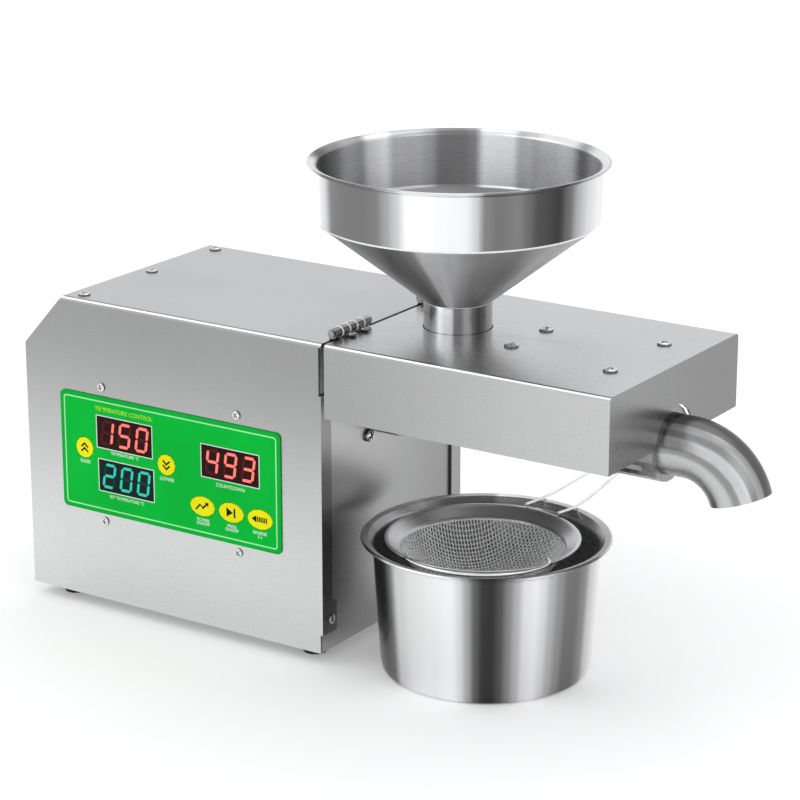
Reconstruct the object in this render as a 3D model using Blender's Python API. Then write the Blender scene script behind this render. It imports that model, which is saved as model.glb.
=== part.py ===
# Bench-top screw oil press, modelled piece by piece.
# Units are metres. X runs from the motor end to the cake outlet, Y from the front to the back,
# and Z up from the table. Sizes are measured from the left end, the mid-plane and the table,
# and one empty then centres the whole machine on its own origin.

import math

import bmesh
import bpy
from mathutils import Matrix, Vector

# Fits that the whole machine shares
SEAT_GAP = 0.0003
RUNNING_GAP = 0.00008
OVERRUN = 0.002

# Housing: an inverted U of sheet with the upper left corner cut off
HOUSING_LENGTH = 0.204
HOUSING_WIDTH = 0.140
HOUSING_HEIGHT = 0.176
SHEET = 0.0012
BEND_RADIUS = 0.0022
INNER_BEND_RADIUS = 0.0005
CORNER_CUT_LENGTH = 0.028
CORNER_CUT_DROP = 0.031
WRAP_WIDTH = 0.0095
WRAP_FOOT_RISE = 0.0106
WRAP_TOP_RISE = 0.147
WRAP_TAB_WIDTH = 0.0135
WRAP_TAB_HEIGHT = 0.017
WRAP_SCREW_INSET = 0.0083
WRAP_SCREW_RISE = 0.018

# Chassis and feet
CHASSIS_SHEET = 0.0015
FOOT_HEIGHT = 0.007
FOOT_RADIUS = 0.008
FOOT_TREAD_RADIUS = 0.0068
FOOT_STEM_RADIUS = 0.003
FOOT_INSET = 0.017

# End cover with the fan behind it
END_FLANGE_LENGTH = 0.019
END_SCREW_X = 0.037
END_SCREW_SPREAD = 0.061
FAN_SIZE = 0.080
FAN_DEPTH = 0.025
FAN_CENTRE_Z = 0.080
FAN_BORE_RADIUS = 0.038
FAN_TIP_GAP = 0.001
FAN_HUB_RADIUS = 0.019
FAN_HUB_WALL = 0.0015
FAN_BLADE_THICKNESS = 0.0014
FAN_BLADE_COUNT = 7
FAN_BLADE_PITCH = math.radians(38)
FAN_STRUT_WIDTH = 0.005
FAN_STRUT_DEPTH = 0.003
FAN_PLATE_RADIUS = 0.015
FAN_PIN_RADIUS = 0.002
FAN_SCREW_SPREAD = 0.03575
FAN_CORNER_RADIUS = 0.004
VENT_SLOT_WIDTH = 0.004
VENT_SLOT_PITCH = 0.010
VENT_SLOT_COUNT = 6
REAR_VENT_LENGTH = 0.030
REAR_VENT_COUNT = 5
REAR_VENT_X_SHARE = 0.36765
REAR_VENT_Z = 0.140

# Screws: head radius, head height, shank radius
SMALL_SCREW = (0.0026, 0.0016, 0.0014)
TOP_SCREW = (0.0035, 0.0021, 0.0018)
COVER_SCREW = (0.0040, 0.0024, 0.0022)
WALL_BOLT = (0.0042, 0.0032, 0.0024)
SCREW_HOLE_GAP = 0.0004

# Control panel
PANEL_LENGTH = 0.1526
PANEL_HEIGHT = 0.0694
PANEL_THICKNESS = 0.0005
PANEL_CORNER = 0.003
PANEL_X_SHARE = 0.49657
PANEL_Z = 0.0940
PANEL_SCREW_X = 0.0469
PANEL_SCREW_Z = 0.0397
PANEL_SCREW_OFFSET_Z = 0.0003
DISPLAY_LENGTH = 0.0386
DISPLAY_HEIGHT = 0.0182
DISPLAY_RECESS = 0.0002
DISPLAYS = {
    "temperature_display": (-0.0309, 0.0140),
    "setting_display": (-0.0303, -0.0116),
    "countdown_display": (0.0424, 0.0104),
}
ROUND_KEY = (0.0060, 0.0060)
OVAL_KEY = (0.00835, 0.00565)
KEYS = {
    "key_raise": (-0.0594, 0.0027, ROUND_KEY),
    "key_lower": (-0.0013, 0.0029, ROUND_KEY),
    "key_power": (0.0233, -0.0166, OVAL_KEY),
    "key_press": (0.0430, -0.0165, OVAL_KEY),
    "key_reverse": (0.0625, -0.0167, OVAL_KEY),
}
KEY_TRAVEL = 0.0006
KEY_PROUD = 0.0004
KEY_RIM = 0.0010
KEY_RIM_THICKNESS = 0.0010
KEY_STEM_RADIUS = 0.0016
BOARD_STANDOFF = 0.0080
BOARD_THICKNESS = 0.0016
BOARD_EDGE = 0.0045
BOARD_HEIGHT = 0.090
SWITCH_SIZE = 0.006
SWITCH_HEIGHT = 0.0032
SINK_DEPTH = 0.0004

# Power board on the chassis floor
POWER_BOARD_START = 0.052
POWER_BOARD_INSET = 0.058
POWER_BOARD_Y = (-0.050, 0.030)
POWER_BOARD_STANDOFF = 0.006
POWER_LEG_SIZE = 0.006
TRANSFORMER_SIZE = (0.032, 0.028, 0.024)
TRANSFORMER_X_SHARE = 0.24
HEAT_SINK_SIZE = (0.030, 0.004, 0.022)
HEAT_SINK_PITCH = 0.008
HEAT_SINK_FINS = 4
HEAT_SINK_X_SHARE = 0.76

# Power inlet and switch, low on the back wall
INLET_INSET = 0.044
SWITCH_SPACE = 0.042
INLET_RISE = 0.030
INLET_BODY = (0.0270, 0.0200)
INLET_FLANGE = (0.0310, 0.0240)
INLET_SOCKET = (0.0235, 0.0160)
INLET_FLANGE_THICKNESS = 0.0022
INLET_DEPTH = 0.018
INLET_FLOOR = 0.003
INLET_PIN = (0.0020, 0.0012)
INLET_PIN_SPREAD = 0.007
INLET_PIN_OFFSET = 0.002
INLET_PIN_REACH = 0.012
ROCKER_FRAME = (0.0150, 0.0210)
ROCKER_FRAME_OPENING = (0.0104, 0.0172)
ROCKER_BODY = (0.0130, 0.0190)
ROCKER_FRAME_DEPTH = 0.014
ROCKER_HALF_HEIGHT = 0.0072
ROCKER_DEPTH = 0.0030
ROCKER_CREST = 0.0012
ROCKER_REST_TILT = math.radians(9)

# Motor, on the same axis as the press barrel
AXIS_RISE = 0.133
MOTOR_FAN_SPACE = 0.0198
MOTOR_GEARBOX_SPACE = 0.002
MOTOR_RADIUS = 0.036
MOTOR_WALL = 0.0022
MOTOR_BELL_LENGTH = 0.006
MOTOR_BOSS_RADIUS = 0.012
MOTOR_BOSS_LENGTH = 0.004
MOTOR_SHAFT_RADIUS = 0.004
ROTOR_RADIUS = 0.029
ROTOR_END_SPACE = 0.012

# Reverted two-stage gear train: twelve teeth drive thirty-eight, twice
GEAR_MODULE = 0.0016
PINION_TEETH = 12
WHEEL_TEETH = 38
ADDENDUM_SHARE = 0.8
DEDENDUM_SHARE = 1.05
PRESSURE_ANGLE = math.radians(20)
BACKLASH = 0.00018
FIRST_STAGE_INSET = 0.006
GEARBOX_WALL = 0.003
GEARBOX_COVER_LENGTH = 0.011
GEARBOX_SIDE_GAP = 0.0015
STAGE_SPACE = 0.006
FIRST_STAGE_WIDTH = 0.009
STAGE_END_SPACE = 0.005
SECOND_STAGE_WIDTH = 0.012
PINION_EXTRA = 0.001
LAYSHAFT_RADIUS = 0.004
BUSH_WALL = 0.003
BUSH_LENGTH = 0.0038
OUTPUT_SHAFT_RADIUS = 0.008
OUTPUT_SHAFT_STUB = 0.002
OUTPUT_SHAFT_REACH = 0.0122
BEARING_RADIUS = 0.015
HEX_RADIUS = 0.0056
HEX_SOCKET_DEPTH = 0.013
WALL_BOLT_Y = 0.0231
WALL_BOLT_Z = 0.0203
WALL_BOLT_LENGTH = 0.009

# Barrel seat, press barrel and screw
SEAT_RADIUS = 0.0245
SEAT_LENGTH = 0.0115
SEAT_SPIGOT_RADIUS = 0.016
SEAT_BORE_RADIUS = 0.012
SEAT_SOCKET_DEPTH = 0.008
BARREL_RADIUS = 0.0185
BARREL_BORE = 0.0130
BARREL_REACH = 0.162
BARREL_THREAD_RADIUS = 0.017
COLLAR_RADIUS = 0.0230
COLLAR_BORE = 0.0200
COLLAR_DEPTH = 0.0028
COLLAR_TOP_RISE = 0.0278
FEED_HOLE_RADIUS = 0.0115
OIL_SLOT_WIDTH = 0.0012
OIL_SLOT_PITCH = 0.0066
OIL_SLOT_COUNT = 7
OIL_SLOT_DEPTH = 0.0105
OIL_SLOT_REACH = 0.054
SCREW_RADIUS = 0.0126
SCREW_ROOT_START = 0.0060
SCREW_ROOT_END = 0.0098
SCREW_FLIGHTS_REACH = 0.015
SCREW_END_SPACE = 0.014
SCREW_TURNS = 6
SCREW_COLUMNS = 15
SCREW_CREST = 0.0022
SCREW_FLANK = 0.0016
SCREW_COLLAR_SPACE = 0.0005
SCREW_TIP_LENGTH = 0.009
SCREW_TIP_RADIUS = 0.0055
HEATER_INSET = 0.052
HEATER_LENGTH = 0.032
HEATER_RADIUS = 0.0218
HEATER_EAR = (0.012, 0.006, 0.007)
HEATER_SPLIT = 0.002
PROBE_SPACE = 0.010
PROBE_RADIUS = 0.0022
PROBE_NUT_RADIUS = 0.0042
PROBE_NUT_LENGTH = 0.005
PROBE_LENGTH = 0.018
END_NUT_RADIUS = 0.0205
END_NUT_LAP = 0.016
END_NUT_REACH = 0.0102
END_NUT_LIP = 0.0074
END_NUT_FLUTE = 0.0030
END_NUT_FLUTES = 6

# Cake elbow
ELBOW_RADIUS = 0.0163
ELBOW_WALL = 0.0015
ELBOW_BEND_REACH = 0.021
ELBOW_BEND_RADIUS = 0.032
ELBOW_SWEEP = math.radians(73)
ELBOW_FLANGE_RADIUS = 0.0169
ELBOW_FLANGE_LENGTH = 0.0022
ELBOW_STEPS = 6

# Hinged press cover
SEAM_WIDTH = 0.0022
COVER_LENGTH = 0.1721
COVER_DROP = 0.041
COVER_NOTCH_RADIUS = 0.021
COVER_SCREW_SHARES = ((0.487, 0.257), (0.8675, 0.414))
SHIELD_HALF_WIDTH = 0.0365
SHIELD_SHEET = 0.0008
SHIELD_LIP = 0.012
SHIELD_EDGE = 0.0085

# Hinges on the seam
HINGE_START = 0.0600
HINGE_LENGTH = 0.034
HINGE_AXIS_OFFSET = 0.0006
KNUCKLE_RADIUS = 0.0029
KNUCKLE_COUNT = 5
HINGE_PIN_RADIUS = 0.0013
HINGE_PIN_HEAD = 0.0021
HINGE_PIN_HEAD_LENGTH = 0.0008
LEAF_SHEET = 0.0008
BOX_LEAF_DROP = 0.016
COVER_LEAF_LENGTH = 0.0105
HINGE_SCREW_OFFSET = 0.0052
HINGE_SCREW_SHARES = (0.32, 0.68)

# Hopper
HOPPER_REACH = 0.0415
HOPPER_WALL = 0.0012
NECK_RADIUS = 0.0186
NECK_HOLE_GAP = 0.0006
NECK_VISIBLE = 0.0150
CONE_TOP_RADIUS = 0.0755
CONE_HEIGHT = 0.0441
DRUM_TOP_RADIUS = 0.0767
DRUM_HEIGHT = 0.0324
RIM_RADIUS = 0.0809
RIM_LIP = 0.0013
RIM_RISE = 0.0014
HOPPER_BEND = 0.0020

# Oil cup
CUP_REACH = 0.0723
CUP_Y = -0.0187
CUP_BASE_RADIUS = 0.0573
CUP_TOP_RADIUS = 0.0616
CUP_RIM_RADIUS = 0.0682
CUP_RIM_LIP = 0.0016
CUP_HEIGHT = 0.0756
CUP_WALL = 0.0010
CUP_FOOT_RADIUS = 0.004

# Strainer that hangs in the cup
STRAINER_OFFSET_X = -0.0003
STRAINER_OFFSET_Y = -0.0033
STRAINER_RADIUS = 0.0530
STRAINER_OPENING = 0.0440
STRAINER_RIM_DROP = 0.0052
STRAINER_SHEET = 0.0008
STRAINER_DEPTH = 0.029
STRAINER_MESH_SHEET = 0.0006
WIRE_RADIUS = 0.0010
EAR_START = math.radians(250)
EAR_END = math.radians(343)
HANDLE_HEADING = math.radians(82.5)
HANDLE_SPREAD = 0.0225
HANDLE_REACH = 0.076
HANDLE_RISE = math.radians(10)
HANDLE_TIP_SPREAD = 0.0130

# Facets on round pieces
FINE = 32
PIPE = 20
ROUND = 22
MEDIUM = 16
SMALL = 12
SLIM = 10
TINY = 8
HOLE = 6

# Places that follow from the sizes above
FLOOR_Z = FOOT_HEIGHT
TOP_Z = FLOOR_Z + HOUSING_HEIGHT
AXIS_Z = FLOOR_Z + AXIS_RISE
HALF_WIDTH = HOUSING_WIDTH / 2
INNER_HALF_WIDTH = HALF_WIDTH - SHEET - SEAT_GAP
PANEL_X = HOUSING_LENGTH * PANEL_X_SHARE
BOARD_LENGTH = 2 * (max(abs(x) for x, _, _ in KEYS.values()) + BOARD_EDGE)
REAR_VENT_X = HOUSING_LENGTH * REAR_VENT_X_SHARE
INLET_X = HOUSING_LENGTH - INLET_INSET
SWITCH_X = INLET_X - SWITCH_SPACE
POWER_BOARD_X = (POWER_BOARD_START, HOUSING_LENGTH - POWER_BOARD_INSET)
WALL_OUTER_X = HOUSING_LENGTH - SHEET - SEAT_GAP
WALL_INNER_X = WALL_OUTER_X - CHASSIS_SHEET
GEARBOX_SPLIT = WALL_INNER_X - GEARBOX_COVER_LENGTH
SECOND_STAGE_START = GEARBOX_SPLIT - STAGE_END_SPACE - SECOND_STAGE_WIDTH
FIRST_STAGE_START = SECOND_STAGE_START - STAGE_SPACE - FIRST_STAGE_WIDTH
GEARBOX_START = FIRST_STAGE_START - FIRST_STAGE_INSET
MOTOR_START = SHEET + FAN_DEPTH + MOTOR_FAN_SPACE
MOTOR_END = GEARBOX_START - MOTOR_GEARBOX_SPACE
OUTPUT_SHAFT_START = SECOND_STAGE_START - OUTPUT_SHAFT_STUB
PANEL_FRONT_Y = -HALF_WIDTH - SEAT_GAP - PANEL_THICKNESS
BOARD_FRONT_Y = -HALF_WIDTH + BOARD_STANDOFF
CENTRE_DISTANCE = GEAR_MODULE * (PINION_TEETH + WHEEL_TEETH) / 2
LAYSHAFT_Z = AXIS_Z - CENTRE_DISTANCE
COVER_START = HOUSING_LENGTH + SEAM_WIDTH
COVER_END = COVER_START + COVER_LENGTH
COVER_BOTTOM_Z = TOP_Z - COVER_DROP
COVER_SCREWS = tuple((COVER_START + COVER_LENGTH * along, HALF_WIDTH * across)
                     for along, across in COVER_SCREW_SHARES)
SHIELD_START = COVER_SCREWS[0][0] - SHIELD_EDGE
SHIELD_LENGTH = COVER_SCREWS[-1][0] + SHIELD_EDGE - SHIELD_START
HINGE_AXIS_X = HOUSING_LENGTH + HINGE_AXIS_OFFSET
HINGE_SCREW_X = HINGE_AXIS_X + HINGE_SCREW_OFFSET
HINGE_AXIS_Z = TOP_Z + SEAT_GAP + KNUCKLE_RADIUS
SEAT_START = WALL_OUTER_X + SEAT_GAP
BARREL_START = SEAT_START + SEAT_LENGTH - SEAT_SOCKET_DEPTH + SEAT_GAP
OUTPUT_SHAFT_END = SEAT_START + OUTPUT_SHAFT_REACH
BARREL_END = HOUSING_LENGTH + BARREL_REACH
OIL_SLOT_START = HOUSING_LENGTH + OIL_SLOT_REACH
SCREW_COLLAR_START = OUTPUT_SHAFT_END + SCREW_COLLAR_SPACE
SCREW_FLIGHTS_START = HOUSING_LENGTH + SCREW_FLIGHTS_REACH
SCREW_FLIGHTS_END = BARREL_END - SCREW_END_SPACE
HEATER_START = BARREL_END - HEATER_INSET
PROBE_X = HEATER_START - PROBE_SPACE
END_NUT_START = BARREL_END - END_NUT_LAP
END_NUT_END = BARREL_END + END_NUT_REACH
ELBOW_BEND_START = BARREL_END + ELBOW_BEND_REACH
HOPPER_X = HOUSING_LENGTH + HOPPER_REACH
CUP_X = HOUSING_LENGTH + CUP_REACH
STRAINER_X = CUP_X + STRAINER_OFFSET_X
STRAINER_Y = CUP_Y + STRAINER_OFFSET_Y
COLLAR_TOP_Z = AXIS_Z + COLLAR_TOP_RISE
NECK_BOTTOM_Z = COLLAR_TOP_Z - COLLAR_DEPTH + SEAT_GAP
CONE_BOTTOM_Z = TOP_Z + NECK_VISIBLE
CONE_TOP_Z = CONE_BOTTOM_Z + CONE_HEIGHT
RIM_Z = CONE_TOP_Z + DRUM_HEIGHT
WIRE_Z = CUP_HEIGHT + SEAT_GAP + WIRE_RADIUS
STRAINER_TOP_Z = WIRE_Z - WIRE_RADIUS - SEAT_GAP
ELBOW_TIP_X = ELBOW_BEND_START + (ELBOW_BEND_RADIUS + ELBOW_RADIUS) * math.sin(ELBOW_SWEEP)
HANDLE_END_Y = STRAINER_Y + (STRAINER_RADIUS + HANDLE_REACH) * math.sin(HANDLE_HEADING)
ORIGIN_X = ELBOW_TIP_X / 2
ORIGIN_Y = (HANDLE_END_Y + CUP_Y - CUP_RIM_RADIUS) / 2


def clear_scene():
    for found in list(bpy.data.objects):
        bpy.data.objects.remove(found, do_unlink=True)


def make_material(name, colour, roughness, metallic):
    material = bpy.data.materials.new(name)
    material.use_nodes = True
    shader = material.node_tree.nodes["Principled BSDF"]
    shader.inputs["Base Color"].default_value = (*colour, 1)
    shader.inputs["Roughness"].default_value = roughness
    shader.inputs["Metallic"].default_value = metallic
    return material


# Colour, roughness and metallic value of each finish
FINISHES = {
    "satin_steel": ((0.62, 0.62, 0.62), 0.34, 1.0),
    "polished_steel": ((0.72, 0.72, 0.73), 0.14, 1.0),
    "plain_steel": ((0.50, 0.50, 0.51), 0.38, 1.0),
    "gear_steel": ((0.42, 0.42, 0.43), 0.30, 1.0),
    "cast_aluminium": ((0.55, 0.56, 0.57), 0.55, 1.0),
    "brass": ((0.72, 0.55, 0.24), 0.30, 1.0),
    "black_rubber": ((0.02, 0.02, 0.02), 0.80, 0.0),
    "black_plastic": ((0.03, 0.03, 0.03), 0.50, 0.0),
    "green_film": ((0.02, 0.50, 0.16), 0.45, 0.0),
    "yellow_film": ((0.93, 0.83, 0.04), 0.45, 0.0),
    "red_display": ((0.30, 0.01, 0.02), 0.20, 0.0),
    "green_display": ((0.01, 0.16, 0.13), 0.20, 0.0),
    "circuit_board": ((0.02, 0.22, 0.09), 0.50, 0.0),
    "mica_band": ((0.45, 0.42, 0.36), 0.45, 1.0),
}
used_materials = {}


def finish(name):
    if name not in used_materials:
        used_materials[name] = make_material(name, *FINISHES[name])
    return used_materials[name]


def new_object(name, bm, finish_name, parent, pivot=(0, 0, 0), smooth_angle=math.radians(35)):
    """Turns a bmesh in machine coordinates into an object whose origin is at pivot."""
    bmesh.ops.recalc_face_normals(bm, faces=bm.faces)
    bmesh.ops.translate(bm, verts=bm.verts, vec=-Vector(pivot))
    mesh = bpy.data.meshes.new(name)
    bm.to_mesh(mesh)
    bm.free()
    mesh.shade_smooth()
    mesh.set_sharp_from_angle(angle=smooth_angle)
    made = bpy.data.objects.new(name, mesh)
    bpy.context.scene.collection.objects.link(made)
    if finish_name:
        mesh.materials.append(finish(finish_name))
    made.parent = parent
    made.location = Vector(pivot) - Vector(PIVOTS.get(parent.name, (0, 0, 0)))
    PIVOTS[name] = tuple(pivot)
    return made


# Where each object's origin is, in machine coordinates
PIVOTS = {}


def combine(target, bm, operation, solver="EXACT"):
    """Adds a hidden helper and a Boolean modifier that cuts it from the target or joins it on."""
    number = len(target.modifiers) + 1
    helper = new_object(f"helper_{target.name}_{number}", bm, None, target.parent,
                        PIVOTS[target.name])
    helper.hide_render = True
    helper.display_type = "WIRE"
    modifier = target.modifiers.new(f"{operation.lower()}_{number}", "BOOLEAN")
    modifier.operation = operation
    modifier.solver = solver
    modifier.object = helper


def cut(target, bm):
    combine(target, bm, "DIFFERENCE")


def join(target, bm):
    combine(target, bm, "UNION")


def add_box(bm, low, high):
    low, high = Vector(low), Vector(high)
    made = bmesh.ops.create_cube(bm, size=1)
    corner_scale = Matrix.Diagonal((*(high - low), 1))
    bmesh.ops.transform(bm, matrix=Matrix.Translation((low + high) / 2) @ corner_scale,
                        verts=made["verts"])


def to_axis(axis, along, first, second):
    """Places plane coordinates on the plane across the given axis, in cyclic X, Y, Z order."""
    if axis == "X":
        return Vector((along, first, second))
    if axis == "Y":
        return Vector((first, along, second))
    return Vector((first, second, along))


def add_prism(bm, axis, outline, start, end):
    """Extrudes a closed outline, given across the axis, from start to end."""
    low = [bm.verts.new(to_axis(axis, start, *point)) for point in outline]
    high = [bm.verts.new(to_axis(axis, end, *point)) for point in outline]
    bm.faces.new(low)
    bm.faces.new(high)
    bridge_rings(bm, low, high)


def bridge_rings(bm, first, second):
    for near in range(len(first)):
        far = (near + 1) % len(first)
        bm.faces.new((first[near], first[far], second[far], second[near]))


def circle(centre, radius, count, turn=0.0):
    return [(centre[0] + radius * math.cos(turn + math.tau * step / count),
             centre[1] + radius * math.sin(turn + math.tau * step / count))
            for step in range(count)]


def ellipse(centre, radii, count):
    return [(centre[0] + radii[0] * math.cos(math.tau * step / count),
             centre[1] + radii[1] * math.sin(math.tau * step / count))
            for step in range(count)]


def rectangle(centre, size):
    half_x, half_y = size[0] / 2, size[1] / 2
    return [(centre[0] - half_x, centre[1] - half_y), (centre[0] + half_x, centre[1] - half_y),
            (centre[0] + half_x, centre[1] + half_y), (centre[0] - half_x, centre[1] + half_y)]


def rounded_rectangle(centre, size, radius, steps=3):
    points = []
    for index, (side_x, side_y) in enumerate(((1, 1), (-1, 1), (-1, -1), (1, -1))):
        corner = (centre[0] + side_x * (size[0] / 2 - radius),
                  centre[1] + side_y * (size[1] / 2 - radius))
        for step in range(steps + 1):
            angle = math.pi / 2 * (index + step / steps)
            points.append((corner[0] + radius * math.cos(angle),
                           corner[1] + radius * math.sin(angle)))
    return points


def slot_outline(centre, length, width, upright, steps=3):
    """A slot with round ends, along the first or the second plane axis."""
    points = []
    for side in (1, -1):
        for step in range(steps + 1):
            angle = -math.pi / 2 + math.pi * step / steps
            along = side * ((length - width) / 2 + width / 2 * math.cos(angle))
            across = side * width / 2 * math.sin(angle)
            points.append((centre[0] + (across if upright else along),
                           centre[1] + (along if upright else across)))
    return points


def arch_outline(half_width, bottom, top, radius, steps=3):
    """A box section that is open to nothing, with its two upper corners rounded."""
    points = [(-half_width, bottom), (half_width, bottom)]
    for side, begin in ((1, 0), (-1, math.pi / 2)):
        for step in range(steps + 1):
            angle = begin + math.pi / 2 * step / steps
            points.append((side * (half_width - radius) + radius * math.cos(angle),
                           top - radius + radius * math.sin(angle)))
    return points


def strip_outline(path, thickness):
    """A bent strip: the path is its left-hand face, and the thickness goes to its right."""
    points = [Vector(point) for point in path]
    normals = []
    for near, far in zip(points, points[1:]):
        heading = (far - near).normalized()
        normals.append(Vector((heading.y, -heading.x)))
    inner = [points[0] + normals[0] * thickness]
    for index in range(1, len(points) - 1):
        mitre = (normals[index - 1] + normals[index]).normalized()
        inner.append(points[index] + mitre * (thickness / mitre.dot(normals[index])))
    inner.append(points[-1] + normals[-1] * thickness)
    return [tuple(point) for point in points + inner[::-1]]


def add_turned(bm, profile, count, axis="X", centre=(0, 0), closed=True):
    """Turns (distance along the axis, radius) points round the axis; closed makes a ring-shaped
    body, and otherwise the first and last points are end discs."""
    rings = []
    for along, radius in profile:
        rings.append([bm.verts.new(to_axis(axis, along, *point))
                      for point in circle(centre, radius, count)])
    for first, second in zip(rings, rings[1:]):
        bridge_rings(bm, first, second)
    if closed:
        bridge_rings(bm, rings[-1], rings[0])
    else:
        bm.faces.new(rings[0])
        bm.faces.new(rings[-1])


def add_screw(bm, axis, start, centre, outward, sizes, length, count=TINY):
    """A screw whose head sits a seat gap outside start, with its shank running inwards."""
    head_radius, head_height, shank_radius = sizes
    seat = start + outward * SEAT_GAP
    crown = head_height / 2
    profile = [(seat + outward * head_height, head_radius / 2),
               (seat + outward * crown, head_radius),
               (seat, head_radius),
               (seat, shank_radius),
               (start - outward * length, shank_radius)]
    add_turned(bm, profile, count, axis, centre, closed=False)


def bore_radius(shaft_radius, count):
    """The corner radius of a faceted bore whose flats clear a shaft that turns in it."""
    return (shaft_radius + RUNNING_GAP) / math.cos(math.pi / count)


def add_hole(bm, axis, centre, radius, start, end, count=HOLE):
    add_prism(bm, axis, circle(centre, radius, count), start - OVERRUN, end + OVERRUN)


def make_chassis(root):
    bm = bmesh.new()
    floor_start = SHEET + SEAT_GAP
    path = [(WALL_OUTER_X, TOP_Z - SHEET - SEAT_GAP), (WALL_OUTER_X, FLOOR_Z),
            (floor_start, FLOOR_Z)]
    add_prism(bm, "Y", strip_outline(path, CHASSIS_SHEET), -INNER_HALF_WIDTH, INNER_HALF_WIDTH)
    chassis = new_object("chassis", bm, "satin_steel", root)
    holes = bmesh.new()
    for x in foot_places():
        for y in foot_lines():
            add_hole(holes, "Z", (x, y), FOOT_STEM_RADIUS + SEAT_GAP, FLOOR_Z,
                     FLOOR_Z + CHASSIS_SHEET, SLIM)
    add_hole(holes, "X", (0, AXIS_Z), SEAT_SPIGOT_RADIUS + SEAT_GAP, WALL_INNER_X, WALL_OUTER_X,
             ROUND)
    for y, z in wall_bolt_places():
        add_hole(holes, "X", (y, z), WALL_BOLT[2] + SCREW_HOLE_GAP, WALL_INNER_X, WALL_OUTER_X)
    for y in wrap_screw_lines():
        add_hole(holes, "X", (y, FLOOR_Z + WRAP_SCREW_RISE), SMALL_SCREW[2] + SCREW_HOLE_GAP,
                 WALL_INNER_X, WALL_OUTER_X)
    cut(chassis, holes)


def foot_places():
    return FOOT_INSET, HOUSING_LENGTH - FOOT_INSET


def foot_lines():
    return -HALF_WIDTH + FOOT_INSET, HALF_WIDTH - FOOT_INSET


def wall_bolt_places():
    return [(side_y * WALL_BOLT_Y, AXIS_Z + side_z * WALL_BOLT_Z)
            for side_y in (-1, 1) for side_z in (-1, 1)]


def wrap_screw_lines():
    return -HALF_WIDTH + WRAP_SCREW_INSET, HALF_WIDTH - WRAP_SCREW_INSET


def hinge_starts():
    """The front end of the front hinge and of its mirror image at the back."""
    return -HINGE_START, HINGE_START - HINGE_LENGTH


def make_feet(root):
    stem_top = FLOOR_Z + CHASSIS_SHEET + FOOT_STEM_RADIUS
    profile = [(0, FOOT_TREAD_RADIUS), (FLOOR_Z - SEAT_GAP, FOOT_RADIUS),
               (FLOOR_Z - SEAT_GAP, FOOT_STEM_RADIUS), (stem_top, FOOT_STEM_RADIUS)]
    for side_x, x in zip(("left", "right"), foot_places()):
        for side_y, y in zip(("front", "back"), foot_lines()):
            bm = bmesh.new()
            add_turned(bm, profile, SLIM, "Z", (x, y), closed=False)
            new_object(f"foot_{side_y}_{side_x}", bm, "black_rubber", root)


def make_housing(root):
    bm = bmesh.new()
    add_prism(bm, "X", arch_outline(HALF_WIDTH, FLOOR_Z, TOP_Z, BEND_RADIUS), 0, HOUSING_LENGTH)
    housing = new_object("housing_shell", bm, "satin_steel", root)
    cavity = bmesh.new()
    add_prism(cavity, "X", arch_outline(HALF_WIDTH - SHEET, FLOOR_Z - OVERRUN, TOP_Z - SHEET,
                                        INNER_BEND_RADIUS),
              -OVERRUN, HOUSING_LENGTH - SHEET)
    cut(housing, cavity)
    cut(housing, right_face_opening())
    corner = bmesh.new()
    corner_slope = CORNER_CUT_DROP / CORNER_CUT_LENGTH
    far = CORNER_CUT_LENGTH + OVERRUN
    add_prism(corner, "Y", [(-OVERRUN, TOP_Z - CORNER_CUT_DROP - OVERRUN * corner_slope),
                            (far, TOP_Z + OVERRUN * corner_slope),
                            (-OVERRUN, TOP_Z + OVERRUN * corner_slope)],
              -HALF_WIDTH - OVERRUN, HALF_WIDTH + OVERRUN)
    cut(housing, corner)
    cut(housing, panel_openings(-HALF_WIDTH, -HALF_WIDTH + SHEET, with_screws=True))
    cut(housing, back_wall_openings())
    cut(housing, top_openings())


def right_face_opening():
    """Leaves only the two wraps of the front and back walls on the right-hand face."""
    wrap = HALF_WIDTH - WRAP_WIDTH
    tab = HALF_WIDTH - WRAP_TAB_WIDTH
    foot = FLOOR_Z + WRAP_FOOT_RISE
    tab_top = foot + WRAP_TAB_HEIGHT
    top = FLOOR_Z + WRAP_TOP_RISE
    lid = TOP_Z - BEND_RADIUS
    outside = HALF_WIDTH + OVERRUN
    half = [(outside, FLOOR_Z - OVERRUN), (outside, foot), (tab, foot), (tab, tab_top),
            (wrap, tab_top), (wrap, top), (outside, top), (outside, lid)]
    outline = half + [(-y, z) for y, z in reversed(half)]
    bm = bmesh.new()
    add_prism(bm, "X", outline, WALL_OUTER_X, HOUSING_LENGTH + OVERRUN)
    return bm


def panel_openings(front, back, with_screws):
    """Windows for the displays, key holes and screw holes through the front wall or the film."""
    bm = bmesh.new()
    for x, z in DISPLAYS.values():
        size = (DISPLAY_LENGTH + 2 * SEAT_GAP, DISPLAY_HEIGHT + 2 * SEAT_GAP)
        add_prism(bm, "Y", rectangle((PANEL_X + x, PANEL_Z + z), size), front - OVERRUN,
                  back + OVERRUN)
    for x, z, radii in KEYS.values():
        hole = (radii[0] + SEAT_GAP, radii[1] + SEAT_GAP)
        add_prism(bm, "Y", ellipse((PANEL_X + x, PANEL_Z + z), hole, SMALL), front - OVERRUN,
                  back + OVERRUN)
    if with_screws:
        for x, z in panel_screw_places():
            add_hole(bm, "Y", (x, z), SMALL_SCREW[2] + SCREW_HOLE_GAP, front, back)
    return bm


def panel_screw_places():
    return [(PANEL_X + side_x * PANEL_SCREW_X, PANEL_Z + PANEL_SCREW_OFFSET_Z + side_z * PANEL_SCREW_Z)
            for side_x in (-1, 1) for side_z in (-1, 1)]


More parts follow.
